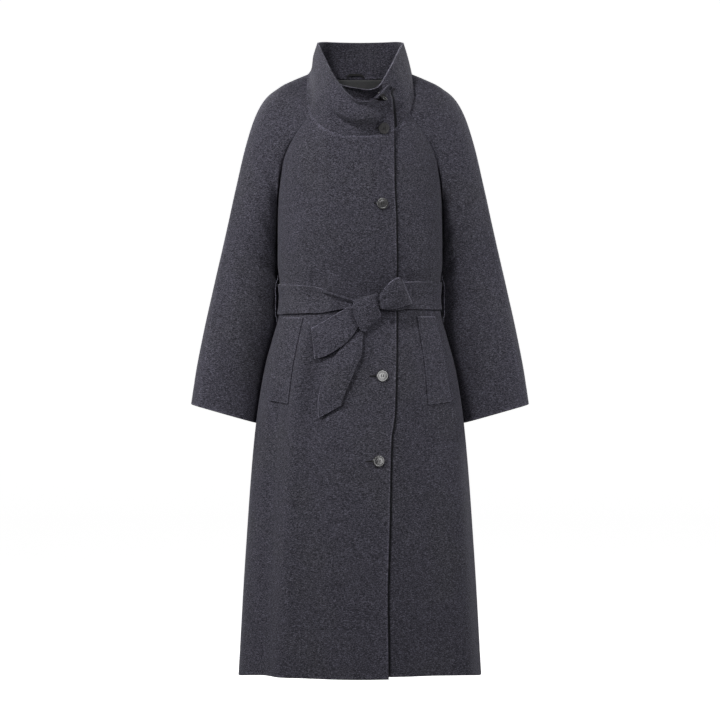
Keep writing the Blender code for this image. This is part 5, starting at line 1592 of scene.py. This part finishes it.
# The threads of a stitch lie side by side, and the middle one stands highest over the button's face.
SEWN_THREAD = 0.26 * MM
SEWN_APART = 0.36
SEWN_LOW = -0.35 * BUTTON_DEEP
SEWN_TOP = 0.77 * BUTTON_DEEP
SEWN_TOP_BEND = SEWN_TOP - 0.1 * MM
SEWN_HIGH = 0.55 * MM
SEWN_DROP = 0.5 * MM
# Half a thread's way over the face: share of the way out to the hole, height over its middle part.
SEWN_BEND = ((0.86, -0.12 * MM), (0.4, 0.10 * MM), (0.0, 0.16 * MM))
HORN_DARK = (0.046, 0.045, 0.047, 1)
HORN_LIGHT = (0.086, 0.084, 0.086, 1)
HORN_GLOSS = 0.52
HORN_ROUGH = (0.07, 0.17)
THREAD_DARK = (0.001, 0.001, 0.001, 1)
THREAD_LIGHT = (0.005, 0.005, 0.006, 1)


def button_material():
    """Polished dark horn: faint brown streaks under a hard gloss."""
    made, tree, shader = new_material("dark horn")
    place = tree.nodes.new("ShaderNodeTexCoord").outputs["Object"]
    streaks = noise(tree, 260.0, 3.0, 0.6, stretched(tree, place, (1.0, 0.25, 1.0)))
    colour = toned(tree, streaks, (0.35, HORN_DARK), (0.75, HORN_LIGHT))
    tree.links.new(colour, shader.inputs["Base Color"])
    scuffs = noise(tree, 900.0, 2.0, 0.6, place)
    tree.links.new(mapped(tree, scuffs, 0.0, 1.0, *HORN_ROUGH), shader.inputs["Roughness"])
    shader.inputs["IOR"].default_value = 1.54
    shader.inputs["Specular IOR Level"].default_value = HORN_GLOSS
    return made


def thread_material():
    """Dark twisted sewing thread."""
    made, tree, shader = new_material("dark thread")
    place = tree.nodes.new("ShaderNodeTexCoord").outputs["Object"]
    fuzz = noise(tree, 2600.0, 2.0, 0.6, place)
    colour = toned(tree, fuzz, (0.0, THREAD_DARK), (1.0, THREAD_LIGHT))
    tree.links.new(colour, shader.inputs["Base Color"])
    shader.inputs["Roughness"].default_value = 0.6
    return made


def placed_piece(name, built, material):
    """A mesh made in place, smooth shaded, riding with the coat."""
    mesh = bpy.data.meshes.new(name)
    built.to_mesh(mesh)
    built.free()
    mesh.polygons.foreach_set("use_smooth", [True] * len(mesh.polygons))
    mesh.materials.append(material)
    piece = bpy.data.objects.new(name, mesh)
    bpy.context.scene.collection.objects.link(piece)
    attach(piece, "root")
    return piece


def front_at(tree, x, z):
    """Point of the foremost cloth at x and z, and its outward direction."""
    point, normal, _, _ = tree.ray_cast(Vector((x, -1, z)), Vector((0, 1, 0)))
    return np.array(point), -np.array(normal) if normal.y > 0 else np.array(normal)


def seat(tree, x, z, radius):
    """Where a flat round thing of this radius rests on the fronts, and its outward direction."""
    angles = np.arange(SEAT_POINTS) * 2 * math.pi / SEAT_POINTS
    ring = np.array([front_at(tree, x + radius * math.cos(a), z + radius * math.sin(a))[0] for a in angles])
    quarter = SEAT_POINTS // 4
    normal = unit(np.cross(ring[0] - ring[2 * quarter], ring[quarter] - ring[3 * quarter]))
    points = np.concatenate([ring, [front_at(tree, x, z)[0]]])
    middle = ring.mean(axis=0)
    return middle + normal * ((points - middle) @ normal).max(), normal


def turned_disc(built):
    """The button's disc, turned from its section."""
    rings = []
    for radius, height in BUTTON_PROFILE:
        ring = []
        for k in range(BUTTON_SIDES if radius else 1):
            angle = 2 * math.pi * k / BUTTON_SIDES
            x = radius * BUTTON_RADIUS * math.cos(angle)
            y = radius * BUTTON_RADIUS * math.sin(angle)
            ring.append(built.verts.new((x, y, height * BUTTON_DEEP)))
        rings.append(ring)
    for first, second in zip(rings, rings[1:]):
        for k in range(BUTTON_SIDES):
            n = (k + 1) % BUTTON_SIDES
            if len(first) == 1:
                built.faces.new((first[0], second[k], second[n]))
            elif len(second) == 1:
                built.faces.new((first[k], second[0], first[n]))
            else:
                built.faces.new((first[k], second[k], second[n], first[n]))
    bmesh.ops.recalc_face_normals(built, faces=built.faces)


def sewing_holes():
    """Four rods that cut the sewing holes of a button."""
    built = bmesh.new()
    for x in (-1, 1):
        for y in (-1, 1):
            made = bmesh.ops.create_cone(
                built,
                cap_ends=True,
                segments=24,
                radius1=BUTTON_HOLE_RADIUS,
                radius2=BUTTON_HOLE_RADIUS,
                depth=4 * BUTTON_DEEP,
            )
            move = Vector((x * BUTTON_HOLE_SPREAD / 2, y * BUTTON_HOLE_SPREAD / 2, 0))
            bmesh.ops.translate(built, verts=made["verts"], vec=move)
    mesh = bpy.data.meshes.new("sewing_holes")
    built.to_mesh(mesh)
    built.free()
    cutter = bpy.data.objects.new("sewing_holes", mesh)
    bpy.context.scene.collection.objects.link(cutter)
    return cutter


# No thread runs this way, so it gives every thread a side.
ACROSS_THREADS = np.array([0.31, 0.17, 0.93])


def tube(built, points, radius, sides=8):
    """A round thread through these points, with closed ends."""
    points = np.asarray(points, dtype=float)
    run = unit(np.gradient(points, axis=0))
    side = unit(np.cross(run, ACROSS_THREADS))
    lift = np.cross(run, side)
    rings = []
    for point, a, b in zip(points, side, lift):
        ring = []
        for k in range(sides):
            angle = 2 * math.pi * k / sides
            ring.append(built.verts.new(point + radius * (a * math.cos(angle) + b * math.sin(angle))))
        rings.append(ring)
    for first, second in zip(rings, rings[1:]):
        for k in range(sides):
            n = (k + 1) % sides
            built.faces.new((first[k], first[n], second[n], second[k]))
    built.faces.new(rings[0][::-1])
    built.faces.new(rings[-1])


def stitch_line(x, strand):
    """One thread of a stitch: up through a hole, over the button's face and down through the next."""
    half = BUTTON_HOLE_SPREAD / 2
    shift = x + strand * MM
    lift = SEWN_TOP + SEWN_HIGH - SEWN_DROP * abs(strand)
    rise = [(shift, -half, SEWN_LOW), (shift, -half, SEWN_TOP_BEND)]
    rise += [(shift, -half * share, lift + high) for share, high in SEWN_BEND]
    return rise + [(shift, -y, z) for _, y, z in rise[-2::-1]]


horn = button_material()
thread = thread_material()
fronts = tree_of(right_points, left_points, collar_points)
for number, row in enumerate(BUTTONS, start=1):
    at = dict(zip(BUTTON_COLUMNS, row))
    point, normal = seat(fronts, at["x"], at["z"], BUTTON_RADIUS * SEAT_SHARE)
    turned = Vector(normal).to_track_quat("Z", "Y").to_matrix().to_4x4()
    place = turned.copy()
    place.translation = Vector(point + normal * BUTTON_OFF)

    disc = bmesh.new()
    turned_disc(disc)
    button = placed_piece(f"button_disc_{number}", disc, horn)
    cutter = sewing_holes()
    cut = button.modifiers.new("holes", "BOOLEAN")
    cut.operation = "DIFFERENCE"
    cut.solver = "EXACT"
    cut.object = cutter
    seen = button.evaluated_get(bpy.context.evaluated_depsgraph_get())
    shaped = bpy.data.meshes.new_from_object(seen)
    button.modifiers.clear()
    bpy.data.objects.remove(cutter, do_unlink=True)
    button.data = shaped
    shaped.transform(place)
    shaped.set_sharp_from_angle(angle=math.radians(28))
    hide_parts(f"button_{number}")

    # Two parallel stitches of several threads each, through the holes and down to the cloth.
    sewn = bmesh.new()
    for side in (-1, 1):
        for strand in (-SEWN_APART, 0.0, SEWN_APART):
            tube(sewn, stitch_line(side * BUTTON_HOLE_SPREAD / 2, strand), SEWN_THREAD)
    stitches = placed_piece(f"button_thread_{number}", sewn, thread)
    stitches.data.transform(place)

    # The buttonhole: a dark slit inside a close row of stitches worked over its edges.
    worked = bmesh.new()
    start = at["x"] + at["hole_start"]
    for side in (-1, 1):
        for share in np.linspace(0, 1, BUTTONHOLE_STITCHES):
            line = []
            for out, lift in BUTTONHOLE_STITCH:
                z = at["z"] + side * out * BUTTONHOLE_HALF
                spot, away = front_at(fronts, start + share * BUTTONHOLE_LONG, z)
                line.append(spot + away * lift * BUTTONHOLE_BEAD)
            tube(worked, line, BUTTONHOLE_THREAD, 6)
    placed_piece(f"buttonhole_{number}", worked, thread)

# ---- Studio ------------------------------------------------------------------------------------
# A round white cove, its floor well below the hem, with a large soft light above and to the left of
# the camera, a weaker one on the right, two behind, and a far panel that polished buttons mirror.
FLOOR_Z = -1.46
COVE_RADIUS = 14.0
COVE_BEND = 3.0
COVE_TOP_Z = 9.0
COVE_SIDES = 72
COVE_STEPS = 16
COVE_MIDDLE = 0.05
COVE_DOME = 0.5
PAPER = (0.88, 0.88, 0.88, 1)
PAPER_GLOW = 0.95
SKY = 0.04
cove_line = [(COVE_MIDDLE, FLOOR_Z), (COVE_RADIUS - COVE_BEND, FLOOR_Z)]
for step in range(1, COVE_STEPS + 1):
    angle = math.pi / 2 * step / COVE_STEPS
    out = COVE_RADIUS - COVE_BEND + COVE_BEND * math.sin(angle)
    cove_line.append((out, FLOOR_Z + COVE_BEND * (1 - math.cos(angle))))
cove_line.append((COVE_RADIUS, COVE_TOP_Z))
cove_line.append((COVE_MIDDLE, COVE_TOP_Z + COVE_DOME))
cove_points = []
for out, z in cove_line:
    for k in range(COVE_SIDES):
        angle = 2 * math.pi * k / COVE_SIDES
        cove_points.append((out * math.cos(angle), out * math.sin(angle), z))
cove_faces = []
for i in range(len(cove_line) - 1):
    low = i * COVE_SIDES
    high = low + COVE_SIDES
    for k in range(COVE_SIDES):
        n = (k + 1) % COVE_SIDES
        cove_faces.append((low + k, low + n, high + n, high + k))
cove_faces.append(tuple(range(COVE_SIDES)))
cove_mesh = bpy.data.meshes.new("cove")
cove_mesh.from_pydata(cove_points, [], cove_faces)
cove_mesh.polygons.foreach_set("use_smooth", [True] * len(cove_mesh.polygons))
paper, _, paper_shader = new_material("white paper")
paper_shader.inputs["Base Color"].default_value = PAPER
paper_shader.inputs["Roughness"].default_value = 1.0
paper_shader.inputs["Specular IOR Level"].default_value = 0.0
paper_shader.inputs["Emission Color"].default_value = (1, 1, 1, 1)
paper_shader.inputs["Emission Strength"].default_value = PAPER_GLOW
cove_mesh.materials.append(paper)
cove = bpy.data.objects.new("cove", cove_mesh)
cove.visible_diffuse = False
cove.visible_shadow = False
cove.visible_glossy = False
bpy.context.scene.collection.objects.link(cove)

# name, place, aim, width, height, power, colour
LIGHTS = (
    ("soft_key", (-1.2, -1.95, 1.8), (0.0, 0.0, -0.45), 0.4, 0.4, 46.0, (1.0, 0.99, 1.0)),
    ("near_left", (-1.3, -0.6, -0.3), (0.0, 0.0, -0.5), 0.35, 0.9, 8.5, (1.0, 1.0, 1.0)),
    ("near_right", (1.3, -0.6, -0.3), (0.0, 0.0, -0.5), 0.35, 0.9, 7.5, (1.0, 1.0, 1.0)),
    ("soft_fill", (0.9, -3.3, 0.8), (0.0, 0.0, -0.45), 1.2, 1.2, 13.0, (1.0, 1.0, 1.0)),
    ("far_panel", (3.05, -11.5, 1.4), (0.0, 0.0, -0.6), 1.6, 3.2, 105.0, (1.0, 1.0, 1.0)),
    ("back_left", (-1.8, 2.4, 1.6), (0.0, 0.0, -0.4), 1.4, 1.4, 60.0, (1.0, 1.0, 1.0)),
    ("back_right", (2.2, 2.2, 0.8), (0.0, 0.0, -0.5), 1.4, 1.4, 40.0, (1.0, 1.0, 1.0)),
)
for name, place, aim, wide, high, power, colour in LIGHTS:
    lamp_data = bpy.data.lights.new(name, "AREA")
    lamp_data.shape = "RECTANGLE"
    lamp_data.size = wide
    lamp_data.size_y = high
    lamp_data.energy = power
    lamp_data.color = colour
    lamp = bpy.data.objects.new(name, lamp_data)
    lamp.location = place
    lamp.rotation_euler = (Vector(aim) - Vector(place)).to_track_quat("-Z", "Y").to_euler()
    lamp.visible_camera = False
    bpy.context.scene.collection.objects.link(lamp)

world = bpy.data.worlds.new("studio")
world.use_nodes = True
world.node_tree.nodes["Background"].inputs["Color"].default_value = (1, 1, 1, 1)
world.node_tree.nodes["Background"].inputs["Strength"].default_value = SKY
bpy.context.scene.world = world
bpy.context.scene.view_settings.view_transform = "Standard"
